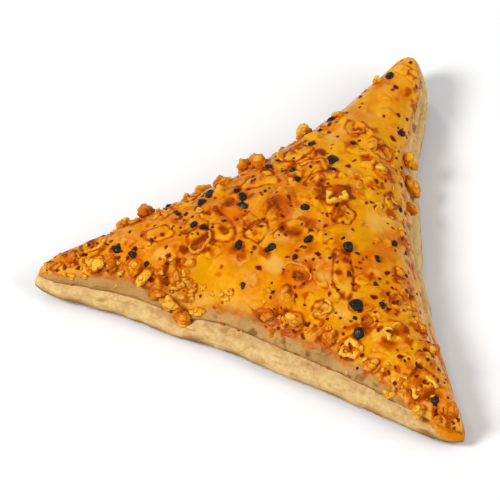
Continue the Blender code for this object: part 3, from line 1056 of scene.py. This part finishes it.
def lumpy_ball(level, seed, lobes, roughness):
    """A ball of merged lobes with a rough skin: its points, its faces and how creased each point is."""
    directions, faces = ball(level)
    draw = random.Random(seed)
    reaches = [np.full(len(directions), 0.55)]
    for _ in range(lobes):
        way = np.array([draw.gauss(0, 1), draw.gauss(0, 1), draw.gauss(0, 0.7)])
        centre = way / np.linalg.norm(way) * draw.uniform(0.30, 0.62)
        radius = draw.uniform(0.24, 0.46)
        along = directions @ centre
        inside = radius ** 2 - centre @ centre + along ** 2
        met = (inside > 0) & (along > 0)
        reaches.append(np.where(met, along + np.sqrt(np.clip(inside, 0, None)), 0.01))
    reaches = np.sort(np.array(reaches), axis=0)
    crease = np.clip(1 - (reaches[-1] - reaches[-2]) / 0.12, 0, 1)
    reach = ((reaches ** 16).sum(axis=0)) ** (1 / 16)
    reach *= angular_reach(directions, draw, 9, 0.75, 1.1)
    rough = ripples(directions * 2.8, 1.0, seed) + 0.6 * ripples(directions * 6.5, 1.0, seed + 5)
    rough += 0.35 * ripples(directions * 14.0, 1.0, seed + 11)
    reach *= 1 + roughness * rough
    points = directions * reach[:, None]
    dents = smoothstep(0.15, 0.7, -rough)
    return points / np.abs(points[:, :2]).max(), faces, np.maximum(crease, dents)


def standing(place, normal, spin):
    """The matrix that puts a piece at that place with its +Z along the normal."""
    turn = normal.to_track_quat("Z", "Y").to_matrix().to_4x4()
    return Matrix.Translation(place) @ turn @ Matrix.Rotation(spin, 4, "Z")


def add_nugget(gathered, matrix, width, flatness, seed, tone, level):
    """One lump of crumb, with painted shade in its creases and dents and on its underside, and a painted
    highlight on its top.
    """
    draw = random.Random(seed)
    points, faces, crease = lumpy_ball(level, seed, draw.randint(4, 10), 0.16)
    stretch = draw.uniform(1.0, 1.25)
    low = smoothstep(0.45, -0.25, points[:, 2])
    top = smoothstep(0.1, 0.7, points[:, 2])
    size = np.array([stretch, 1 / stretch, flatness]) * width / 2
    dark = np.clip(0.6 * crease + 0.45 * low, 0, 1)
    gathered.add(points * size, faces, matrix, tone=tone, dark=dark, light=top * (1 - crease))


def add_ring(gathered, matrix, width, seed, tone, depth, thickness):
    """The ragged rim of a burst bubble, lower and thinner towards its own +X, by that depth."""
    turns = np.arange(RIM_AROUND) / RIM_AROUND * math.tau
    rolls = np.arange(RIM_ACROSS) / RIM_ACROSS * math.tau
    turn, roll = (a.ravel() for a in np.meshgrid(turns, rolls, indexing="ij"))
    way = np.column_stack([np.cos(turn), np.sin(turn)])
    rim = on_level(way)
    outwards, upwards = np.cos(roll), np.sin(roll)
    outline = angular_reach(way, random.Random(seed), 6, 0.80, 1.0)
    opened = bell((turn + math.pi) % math.tau - math.pi, 0.8)
    thick = 1 + 0.40 * ripples(rim * 1.6, 1.0, seed) + 0.25 * ripples(rim * 4.5, 1.0, seed + 2)
    tube = width * 0.105 * thickness * thick * (1 - 0.75 * depth * opened)
    middle = width / 2 * outline * (1 + 0.10 * ripples(rim * 1.3, 1.0, seed + 9)) - tube
    tall = 1.0 + 0.6 * ripples(rim * 2.2, 1.0, seed + 4)
    height = tall * tube * upwards - 0.14 * width * depth * opened
    points = on_level(way * (middle + tube * outwards)[:, None], height)
    skin = ripples(points, 0.0008, seed) + 0.6 * ripples(points, 0.00045, seed)
    points += 0.00024 * skin[:, None] * on_level(way * outwards[:, None], upwards)
    loops = np.arange(len(points)).reshape(RIM_AROUND, RIM_ACROSS)
    after = np.roll(loops, -1, axis=0)
    corners = (loops, after, np.roll(after, -1, axis=1), np.roll(loops, -1, axis=1))
    faces = np.stack(corners, axis=2).reshape(-1, 4)
    # Painted shade on the rim's inner side, its underside and its dents, and a painted highlight on its
    # top.
    inner = np.clip(-outwards, 0, 1) * smoothstep(0.9, -0.6, upwards)
    outer = smoothstep(0.3, -0.6, upwards)
    dents = smoothstep(0.1, 0.7, -skin)
    dark = np.clip(0.9 * inner + 0.7 * outer + 0.6 * dents, 0, 1)
    light = smoothstep(0.3, 0.95, upwards) * (1 - dents)
    gathered.add(points, faces, matrix, tone=tone, dark=dark, light=light)


def add_shard(gathered, matrix, width, seed, tone):
    """A thin curled chip of crumb, leaning on the crust."""
    draw = random.Random(seed)
    points, faces = ball(3)
    ragged = 1 + 0.3 * ripples(on_level(points[:, :2]) * 1.6, 1.0, seed)
    outline = angular_reach(points, draw, 6, 0.6, 1.0) * ragged
    shape = np.column_stack([points[:, :2] * outline[:, None], points[:, 2]])
    size = np.array([draw.uniform(0.9, 1.2), draw.uniform(0.5, 0.8), 0.22]) * width / 2
    shape = shape * size * (1 + 0.15 * ripples(points * 3.0, 1.0, seed))[:, None]
    shape[:, 2] += draw.uniform(0.2, 0.5) * shape[:, 0] ** 2 / width
    # A painted highlight along the chip's edge, and a little painted shade in its middle.
    edge = smoothstep(0.75, 1.0, np.hypot(points[:, 0], points[:, 1]))
    gathered.add(shape, faces, matrix, tone=tone, dark=0.25 * (1 - edge), light=edge)


def add_seed(gathered, matrix, width, seed, level):
    """One seed: a ball cut flat by a few planes, longer one way."""
    draw = random.Random(seed)
    points, faces = ball(level)
    reach = np.ones(len(points))
    for _ in range(8):
        facing = points @ random_way(draw, 3)
        cut = draw.uniform(0.50, 0.80) / np.maximum(facing, 0.05)
        reach = np.minimum(reach, np.where(facing > 0.05, cut, 9))
    reach *= 1 + 0.05 * ripples(points * 4.0, 1.0, seed)
    size = np.array(SEED_SHAPE) * width / 2
    gathered.add(points * reach[:, None] * size, faces, matrix, tone=draw.random())


# What is scattered on the crust: count, smallest and largest width.
SMALL_CRUMBS = (100, 0.0007, 0.0017)
SHARDS = (16, 0.0012, 0.0022)
SIDE_CRUMBS = (110, 0.0004, 0.0012)
HANGING_CRUMBS = (30, 0.0012, 0.0026)
EDGE_CRUMBS = (60, 0.0008, 0.0022)
CHILLI_SPECKS = (150, 0.0004, 0.0008)
BLACK_SPECKS = (36, 0.0005, 0.0010)
# A seed's size for each width, and how much of the solid's seed shows above the glaze.
SEED_SHAPE = (1.435, 1.106, 0.776)
SEED_SHARE = 0.86
# The burst bubbles by their number among the pieces: tone from tawny to gold, how deep the gap is,
# and how thick the rim is.
RIMS = {
    0: (1.0, 1.1, 1.0),
    SLIT_CUP: (0.35, 0.1, 0.7),
    5: (0.35, 0.2, 0.6),
    7: (0.6, 0.7, 0.8),
    8: (0.9, 0.7, 1.15),
    9: (0.95, 0.2, 1.4),
    11: (0.85, 0.9, 0.9),
    13: (0.3, 0.1, 0.6),
    18: (0.7, 0.5, 0.7),
}
# How finely a rim is made, round the bubble and round itself.
RIM_AROUND = 96
RIM_ACROSS = 20
# The lumps with a smallest weight below this are grown and raised, in shares of their width.
EDGE_SHARE = 0.05
EDGE_GROWTH = 1.2
EDGE_RISE = 0.12
# How far in from the crust's edge a piece with a drop just below 0 lies, and how much further one
# with a drop of -1 lies, in shares.
RIM_INSET = 0.012
RIM_WIDTH = 0.045


def crust_hit(surface, plan):
    """The place and the normal of the finished crust above a point in plan."""
    above = Vector((plan[0] + MOVE[0], plan[1] + MOVE[1], SIDE))
    hit, normal, _, _ = surface.ray_cast(above, Vector((0.0, 0.0, -1.0)))
    return hit, normal


def on_crust(surface, plan, lift, spin):
    """The matrix that stands a piece on the finished crust, that far above it."""
    hit, normal = crust_hit(surface, plan)
    return standing(hit + normal * lift, normal, spin)


def edge_place(side, along, drop):
    """A place on a side between the crust's edge, at 0, and the groove, at 1, and the way out of it."""
    weights = side_weights(side, along)
    edge = Vector(side_loop(weights, SIDE_PROFILE[CRUST_ROW])[0] + MOVE)
    groove = Vector(side_loop(weights, SIDE_PROFILE[GROOVE_ROW])[0] + MOVE)
    outward = Vector((*-tip_direction(SIDES[side][2]), 0.5)).normalized()
    return edge.lerp(groove, drop), outward


def rim_place(surface, side, along, drop):
    """The same as edge_place, but on the crust above the edge where the drop is below 0."""
    if drop >= 0:
        return edge_place(side, along, drop)
    return crust_hit(surface, crust_plan(side_weights(side, along, RIM_INSET - RIM_WIDTH * drop)))


def add_free_lumps(gathered, surface, draw):
    """The solid's lumps that stand free of the glaze."""
    for number, (kind, width, plan, weights, spin) in enumerate(TOPPINGS_PLACED):
        if kind != "nugget" or number == SLIT_CUP or not stands_free(number):
            continue
        lift = 0.0
        if weights.min() < EDGE_SHARE:
            lift = EDGE_RISE * width
            width *= EDGE_GROWTH
        level = 5 if width > 0.0034 else 4
        tone = min(draw.uniform(0.15, 0.95) + 0.4 * weights[0, 2], 1.0)
        add_nugget(gathered, on_crust(surface, plan, lift, spin), width, FLATNESS, number, tone, level)


def add_edge_lumps(gathered):
    """The crumbs that hang over the crust's edge."""
    for number, (width, side, along, drop) in enumerate(EDGE_PIECES):
        place, outward = edge_place(side, along, drop)
        matrix = standing(place + outward * 0.26 * width, outward, along)
        tone = 1.0 - 0.3 * ((number + 1) % 3)
        add_nugget(gathered, matrix, width * EDGE_GROWTH, 0.85, 900 + number, tone, 4)


def add_small_crumbs(gathered, surface, draw):
    """Small crumbs in patches, most of them near the sides."""
    count, smallest, largest = SMALL_CRUMBS
    made = 0
    while made < count:
        weights = random_weights(draw)
        plan = crust_plan(weights)
        patch = 0.9 - 9.0 * weights.min() + 0.9 * noise.noise(Vector((*plan, 0.05)) / 0.010)
        patch -= 0.5 * max(weights[0, 1] - 0.5, 0) + 2.0 * max(weights[0, 2] - 0.6, 0)
        if draw.random() > patch or weights.min() < 0.006:
            continue
        width = smallest + (largest - smallest) * draw.random() ** 1.6
        matrix = on_crust(surface, plan, 0.0, draw.uniform(0, math.tau))
        level = 3 if width > 0.0010 else 2
        add_nugget(gathered, matrix, width, 0.75, 2000 + made, draw.random(), level)
        made += 1


def add_rim_crumbs(gathered, surface, draw):
    """Crumbs along the crust's edge: over the sag, along the front, and fine ones on every side."""
    count, smallest, largest = HANGING_CRUMBS
    for number in range(count):
        along = draw.gauss(SAG_PLACE - 0.020, 0.013)
        place, outward = rim_place(surface, 0, along, draw.uniform(-1.1, 0.8))
        matrix = standing(place, outward, number)
        width = draw.uniform(smallest, largest)
        add_nugget(gathered, matrix, width, 0.8, 2800 + number, draw.uniform(0.1, 0.9), 4)
    count, smallest, largest = EDGE_CRUMBS
    for number in range(count):
        place, outward = rim_place(surface, 0, draw.uniform(0.03, 0.98), draw.uniform(-1.0, 0.5))
        matrix = standing(place, outward, number)
        width = smallest + (largest - smallest) * draw.random() ** 1.5
        add_nugget(gathered, matrix, width, 0.8, 2900 + number, draw.random(), 3)
    count, smallest, largest = SIDE_CRUMBS
    for number in range(count):
        side, along = draw.randrange(3), draw.uniform(0.05, 0.95)
        place, outward = rim_place(surface, side, along, draw.uniform(-0.2, 1.1))
        matrix = standing(place, outward, number)
        width = draw.uniform(smallest, largest)
        add_nugget(gathered, matrix, width, 0.8, 3000 + number, draw.random(), 2)


def crumbs(surface):
    """Every lump of crumb, large and small."""
    gathered = Gathered()
    draw = random.Random(FINE_SEED + 1)
    add_free_lumps(gathered, surface, draw)
    add_edge_lumps(gathered)
    add_small_crumbs(gathered, surface, draw)
    add_rim_crumbs(gathered, surface, draw)
    return gathered.piece("crumbs")


def bubble_rims(surface):
    """The rims of the burst bubbles, most of them open towards the camera."""
    gathered = Gathered()
    draw = random.Random(FINE_SEED + 2)
    for number, (tone, depth, thickness) in RIMS.items():
        _, width, plan, _, _ = TOPPINGS_PLACED[number]
        hit, normal = crust_hit(surface, plan)
        turn = Matrix.Rotation(math.radians(90 + VIEW_AZIMUTH) + draw.uniform(-0.8, 0.8), 4, "Z")
        upright = Vector((0.0, 0.0, 1.0)).rotation_difference(normal).to_matrix().to_4x4()
        matrix = Matrix.Translation(hit + normal * 0.03 * width) @ upright @ turn
        add_ring(gathered, matrix, width, number, tone, depth, thickness)
    return gathered.piece("bubble_rims")


def shards(surface):
    """Thin chips of crumb, leaning all ways."""
    gathered = Gathered()
    draw = random.Random(FINE_SEED + 3)
    count, smallest, largest = SHARDS
    for number in range(count):
        plan = crust_plan(random_weights(draw) * 0.88 + 0.04)
        lean = Matrix.Rotation(draw.uniform(-0.5, 0.5), 4, "X")
        lean = lean @ Matrix.Rotation(draw.uniform(-0.3, 0.3), 4, "Y")
        width = draw.uniform(smallest, largest)
        matrix = on_crust(surface, plan, 0.10 * width, draw.uniform(0, math.tau)) @ lean
        add_shard(gathered, matrix, width, 4000 + number, draw.uniform(0.3, 1.0))
    return gathered.piece("crumb_shards")


def seeds(surface):
    """Black seeds, small blunt wedges with flat facets: the solid's own and then smaller specks."""
    gathered = Gathered()
    draw = random.Random(FINE_SEED + 4)
    for number, (kind, width, plan, _, spin) in enumerate(TOPPINGS_PLACED):
        if kind == "seed":
            matrix = on_crust(surface, plan, 0.07 * width, spin)
            add_seed(gathered, matrix, width * SEED_SHARE, number, 3)
    count, smallest, largest = BLACK_SPECKS
    for number in range(count):
        plan = crust_plan(random_weights(draw))
        matrix = on_crust(surface, plan, 0.0, draw.uniform(0, math.tau))
        add_seed(gathered, matrix, draw.uniform(smallest, largest), 800 + number, 2)
    return gathered.piece("black_seeds")


def chilli_specks(surface):
    """Fine dark red specks."""
    gathered = Gathered()
    draw = random.Random(FINE_SEED + 5)
    count, smallest, largest = CHILLI_SPECKS
    points, faces = ball(2)
    for number in range(count):
        matrix = on_crust(surface, crust_plan(random_weights(draw)), 0.0, number)
        width = draw.uniform(smallest, largest)
        size = np.array([draw.uniform(0.8, 1.4), draw.uniform(0.6, 1.0), 0.45]) * width / 2
        ragged = points * (1 + 0.2 * ripples(points * 2.0, 1.0, number))[:, None]
        gathered.add(ragged * size, faces, matrix, tone=draw.random())
    return gathered.piece("chilli_specks")


# Materials


class Shading:
    """A material and short ways to add nodes to it."""

    def __init__(self, name):
        self.material = bpy.data.materials.new(name)
        self.material.use_nodes = True
        self.tree = self.material.node_tree
        self.shader = self.tree.nodes["Principled BSDF"]
        self.shader.inputs["Specular IOR Level"].default_value = SHINE
        self.shader.inputs["Specular Tint"].default_value = linear(SHINE_TINT)
        self.coordinates = self.node("ShaderNodeTexCoord").outputs["Object"]

    def node(self, kind, **settings):
        """A node of that kind with those settings."""
        made = self.tree.nodes.new(kind)
        for name, value in settings.items():
            setattr(made, name, value)
        return made

    def feed(self, socket, value):
        """Links a socket to another, or sets its value."""
        if isinstance(value, bpy.types.NodeSocket):
            self.tree.links.new(value, socket)
        else:
            socket.default_value = value

    def attribute(self, name):
        return self.node("ShaderNodeAttribute", attribute_name=name).outputs["Fac"]

    def noise(self, length, detail=2.0, roughness=0.5, stretch=(1.0, 1.0, 1.0)):
        """Noise from 0 to 1 whose features are about that long."""
        mapping = self.node("ShaderNodeMapping")
        mapping.inputs["Scale"].default_value = [1 / (length * s) for s in stretch]
        self.feed(mapping.inputs["Vector"], self.coordinates)
        made = self.node("ShaderNodeTexNoise")
        self.feed(made.inputs["Vector"], mapping.outputs["Vector"])
        made.inputs["Scale"].default_value = 1.0
        made.inputs["Detail"].default_value = detail
        made.inputs["Roughness"].default_value = roughness
        return made.outputs["Fac"]

    def range(self, value, low, high, to_low=0.0, to_high=1.0):
        """The value from low to high brought smoothly to the other two numbers."""
        made = self.node("ShaderNodeMapRange", interpolation_type="SMOOTHSTEP")
        names = ("From Min", "From Max", "To Min", "To Max")
        for name, number in zip(names, (low, high, to_low, to_high)):
            made.inputs[name].default_value = number
        self.feed(made.inputs["Value"], value)
        return made.outputs["Result"]

    def maths(self, operation, first, second):
        made = self.node("ShaderNodeMath", operation=operation)
        self.feed(made.inputs[0], first)
        self.feed(made.inputs[1], second)
        return made.outputs["Value"]

    def product(self, first, second):
        """Two values multiplied."""
        return self.maths("MULTIPLY", first, second)

    def patches(self, length, detail, roughness, low, high, to_low=0.0, to_high=1.0):
        """Cloudy patches about that long, where the noise goes from low to high."""
        return self.range(self.noise(length, detail, roughness), low, high, to_low, to_high)

    def layered(self, colour, *layers):
        """A colour with others laid over it in turn, each by its share."""
        for share, tint in layers:
            made = self.node("ShaderNodeMix", data_type="RGBA")
            self.feed(made.inputs[0], share)
            self.feed(made.inputs[6], linear(colour) if isinstance(colour, str) else colour)
            self.feed(made.inputs[7], linear(tint) if isinstance(tint, str) else tint)
            colour = made.outputs[2]
        return colour

    def finished(self, colour, roughness, grain, distance, strength):
        """The material with that colour and roughness, and a fine grain that stands out so far."""
        self.feed(self.shader.inputs["Base Color"], colour)
        self.feed(self.shader.inputs["Roughness"], roughness)
        bump = self.node("ShaderNodeBump")
        bump.inputs["Strength"].default_value = strength
        bump.inputs["Distance"].default_value = distance
        self.feed(bump.inputs["Height"], grain)
        self.feed(self.shader.inputs["Normal"], bump.outputs["Normal"])
        return self.material


def glaze_colour(shading):
    """The egg-washed crust: gold and orange in drifts, darker in the gutters from browning and painted
    shade, pale where it is thin, with painted highlights on its relief and paler towards the tips.
    """
    calm = shading.range(shading.attribute("calm"), 0.0, 1.0, 1.0, 0.4)
    mottle = shading.product(shading.patches(0.0022, 4.0, 0.65, 0.47, 0.68, 0.0, 0.62), calm)
    thin = shading.product(shading.attribute("thin"), shading.noise(0.0035, 3.0, 0.5))
    dark = shading.attribute("dark")
    spot = shading.attribute("spot")
    return shading.layered(
        GOLD,
        (shading.patches(0.0085, 3.0, 0.55, 0.38, 0.64), ORANGE),
        (mottle, TAWNY),
        (shading.patches(0.0042, 3.0, 0.6, 0.52, 0.72, 0.0, 0.55), PEACH),
        (shading.range(thin, 0.22, 0.62, 0.0, 0.75), PEACH),
        # Painted highlights, and a paler glaze towards the tips.
        (shading.product(shading.attribute("light"), 0.60), PALE_GOLD_HIGHLIGHT),
        # Browning and painted shade in the gutters, seams and hollows.
        (shading.range(dark, 0.05, 0.60, 0.0, 0.92), TAWNY),
        (shading.range(dark, 0.45, 1.05, 0.0, 0.75), BURNT_AND_SHADE),
        (shading.range(spot, 0.0, 0.5), TAWNY),
        (shading.range(spot, 0.3, 0.7), PEPPER),
    )


def bare_colour(shading):
    """The unglazed pastry: cream with fine layers and toasted specks, with painted shade in the slits, on
    the band under the crust's edge and in the groove, and toasting with painted shade along the foot.
    """
    layers = shading.noise(0.0008, 3.0, 0.6, (3.5, 3.5, 1.0))
    return shading.layered(
        CREAM,
        (shading.range(layers, 0.40, 0.75, 0.0, 0.8), BEIGE),
        (shading.patches(0.0009, 3.0, 0.65, 0.40, 0.66, 0.0, 0.55), PALE_CREAM),
        (shading.patches(0.0005, 2.0, 0.5, 0.66, 0.78, 0.0, 0.5), TOAST_AND_SHADE),
        (shading.patches(0.0028, 3.0, 0.55, 0.45, 0.75, 0.0, 0.4), BEIGE),
        (shading.attribute("tan"), SHADE_TAN),
        (shading.range(shading.attribute("dark"), 0.1, 0.9, 0.0, 0.8), TOAST_AND_SHADE),
        (shading.range(shading.attribute("deep"), 0.0, 1.0, 0.0, 0.85), TOAST_AND_SHADE),
    )


def pastry_material():
    """Both sheets: glazed above a ragged edge, which is browned and also painted dark as the shadow line
    under the crust's edge, and bare below it.
    """
    shading = Shading("baked_pastry")
    glaze = shading.attribute("glaze")
    fringe = shading.maths("ADD", shading.noise(0.0006, 3.0, 0.65), shading.noise(0.0022, 2.0, 0.5))
    ragged = shading.range(shading.maths("ADD", glaze, fringe), 1.15, 1.85)
    rim = shading.product(ragged, shading.range(glaze, 0.55, 1.0, 1.0, 0.0))
    # Browning at the glaze's edge, which also paints the shadow line under the crust's edge.
    browned = shading.product(rim, RIM_BROWNING_AND_SHADOW)
    covered = (ragged, glaze_colour(shading))
    colour = shading.layered(bare_colour(shading), covered, (browned, TAWNY))
    rough = shading.node("ShaderNodeMix", data_type="FLOAT")
    shading.feed(rough.inputs[0], ragged)
    rough.inputs[2].default_value = BARE_ROUGHNESS
    shading.feed(rough.inputs[3], shading.patches(0.0016, 3.0, 0.6, 0.3, 0.7, 0.18, 0.36))
    grain = shading.noise(0.0007, 4.0, 0.62)
    return shading.finished(colour, rough.outputs[0], grain, 0.00016, 0.6)


def crumb_material():
    """Toasted crumb: from tawny to gold by the piece, with painted shade in its creases and painted
    highlights on its tops.
    """
    shading = Shading("toasted_crumb")
    tone = shading.attribute("tone")
    dark = shading.attribute("dark")
    lit = shading.product(shading.attribute("light"), shading.range(tone, 0.0, 1.0, 0.15, 0.85))
    colour = shading.layered(
        TAWNY,
        (shading.range(tone, 0.0, 0.6), ORANGE),
        (shading.range(tone, 0.4, 1.0), GOLD),
        (shading.patches(0.0009, 3.0, 0.6, 0.42, 0.70, 0.0, 0.6), ORANGE),
        # Painted highlights, then painted shade in the creases and underneath.
        (lit, PALE_YELLOW_HIGHLIGHT),
        (shading.range(dark, 0.1, 0.8, 0.0, 0.8), TAWNY),
        (shading.range(dark, 0.6, 1.0, 0.0, 0.75), BURNT_AND_SHADE),
    )
    rough = shading.patches(0.0012, 2.0, 0.5, 0.3, 0.7, 0.26, 0.5)
    return shading.finished(colour, rough, shading.noise(0.0005, 4.0, 0.65), 0.00016, 0.8)


def seed_material():
    """Black seeds, glossy in places."""
    shading = Shading("black_seed")
    shading.shader.inputs["Specular Tint"].default_value = linear(SEED_SHEEN)
    colour = shading.layered(SEED_BLACK, (shading.noise(0.0006, 3.0, 0.6), SEED_BROWN))
    rough = shading.patches(0.0005, 2.0, 0.5, 0.3, 0.7, 0.15, 0.38)
    return shading.finished(colour, rough, shading.noise(0.0003, 3.0, 0.6), 0.0001, 0.7)


def chilli_material():
    """Dark red specks, some of them lighter."""
    shading = Shading("chilli_speck")
    lighter = shading.patches(0.0004, 2.0, 0.5, 0.4, 0.7, 0.0, 0.6)
    colour = shading.layered(CHILLI, (shading.attribute("tone"), BURNT_AND_SHADE), (lighter, CHILLI_RED))
    rough = shading.patches(0.0005, 2.0, 0.5, 0.3, 0.7, 0.3, 0.5)
    return shading.finished(colour, rough, shading.noise(0.0003, 3.0, 0.6), 0.0001, 0.6)


# The setting


def plain_floor():
    """A wide pale floor."""
    corners = np.array([(-1.0, -1.0, 0.0), (1.0, -1.0, 0.0), (1.0, 1.0, 0.0), (-1.0, 1.0, 0.0)])
    floor = make_mesh("floor", corners * FLOOR_HALF, [(0, 1, 2, 3)], {})
    material = bpy.data.materials.new("pale_floor")
    material.use_nodes = True
    shader = material.node_tree.nodes["Principled BSDF"]
    shader.inputs["Base Color"].default_value = FLOOR_COLOUR
    shader.inputs["Roughness"].default_value = 0.9
    floor.data.materials.append(material)


def from_view(azimuth, elevation):
    """The direction from the samosa towards something at that azimuth and elevation, in degrees."""
    a, e = math.radians(azimuth), math.radians(elevation)
    return Vector((math.sin(a) * math.cos(e), -math.cos(a) * math.cos(e), math.sin(e)))


def add_facing(name, data, centre, towards, distance):
    """A light or a camera at that distance from the centre, looking at it."""
    made = bpy.data.objects.new(name, data)
    made.location = centre + towards * distance
    made.rotation_euler = towards.to_track_quat("Z", "Y").to_euler()
    bpy.context.scene.collection.objects.link(made)
    return made


def middle_of_view(pieces):
    """The middle of what the camera sees of those pieces."""
    azimuth = math.radians(VIEW_AZIMUTH)
    across = np.array([math.cos(azimuth), math.sin(azimuth), 0.0])
    towards = np.array(from_view(VIEW_AZIMUTH, VIEW_ELEVATION))
    axes = np.array([across, np.cross(towards, across), towards])
    points = np.array([v.co for piece in pieces for v in piece.data.vertices]) @ axes.T
    middle = (points.min(axis=0) + points.max(axis=0)) / 2
    seen = (points - middle) / (1 - (points - middle)[:, 2:] / VIEW_DISTANCE)
    middle[:2] += ((seen.min(axis=0) + seen.max(axis=0)) / 2)[:2]
    return Vector(middle @ axes)


def light_and_camera(centre):
    """The studio: an even white world, soft lights, and the camera on the pieces' middle."""
    scene = bpy.context.scene
    scene.view_settings.view_transform = "Standard"
    scene.world = bpy.data.worlds.new("studio")
    scene.world.use_nodes = True
    background = scene.world.node_tree.nodes["Background"]
    background.inputs["Color"].default_value = (1.0, 1.0, 1.0, 1.0)
    background.inputs["Strength"].default_value = WORLD_STRENGTH
    for name, azimuth, elevation, distance, size, power in LIGHTS:
        data = bpy.data.lights.new(name, "AREA")
        data.shape = "DISK"
        data.size = size
        data.energy = power
        towards = from_view(VIEW_AZIMUTH + azimuth, elevation)
        add_facing(name, data, Vector(), towards, distance)
    data = bpy.data.cameras.new("camera")
    data.lens = data.sensor_width * VIEW_DISTANCE / VIEW_WIDTH
    data.clip_start = 0.05
    towards = from_view(VIEW_AZIMUTH, VIEW_ELEVATION)
    scene.camera = add_facing("camera", data, centre, towards, VIEW_DISTANCE)


def dress(piece, material):
    """Gives a piece its material, and puts it in the place of the solid."""
    piece.data.materials.append(material)
    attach(piece, "root")
    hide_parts("samosa")


def main():
    """Builds, dresses and lights the samosa."""
    upper = upper_sheet()
    lower = lower_sheet()
    surface = BVHTree.FromObject(upper, bpy.context.evaluated_depsgraph_get())
    pastry = pastry_material()
    crumb = crumb_material()
    dress(upper, pastry)
    dress(lower, pastry)
    dress(crumbs(surface), crumb)
    dress(bubble_rims(surface), crumb)
    dress(shards(surface), crumb)
    dress(seeds(surface), seed_material())
    dress(chilli_specks(surface), chilli_material())
    plain_floor()
    light_and_camera(middle_of_view((upper, lower)))


main()
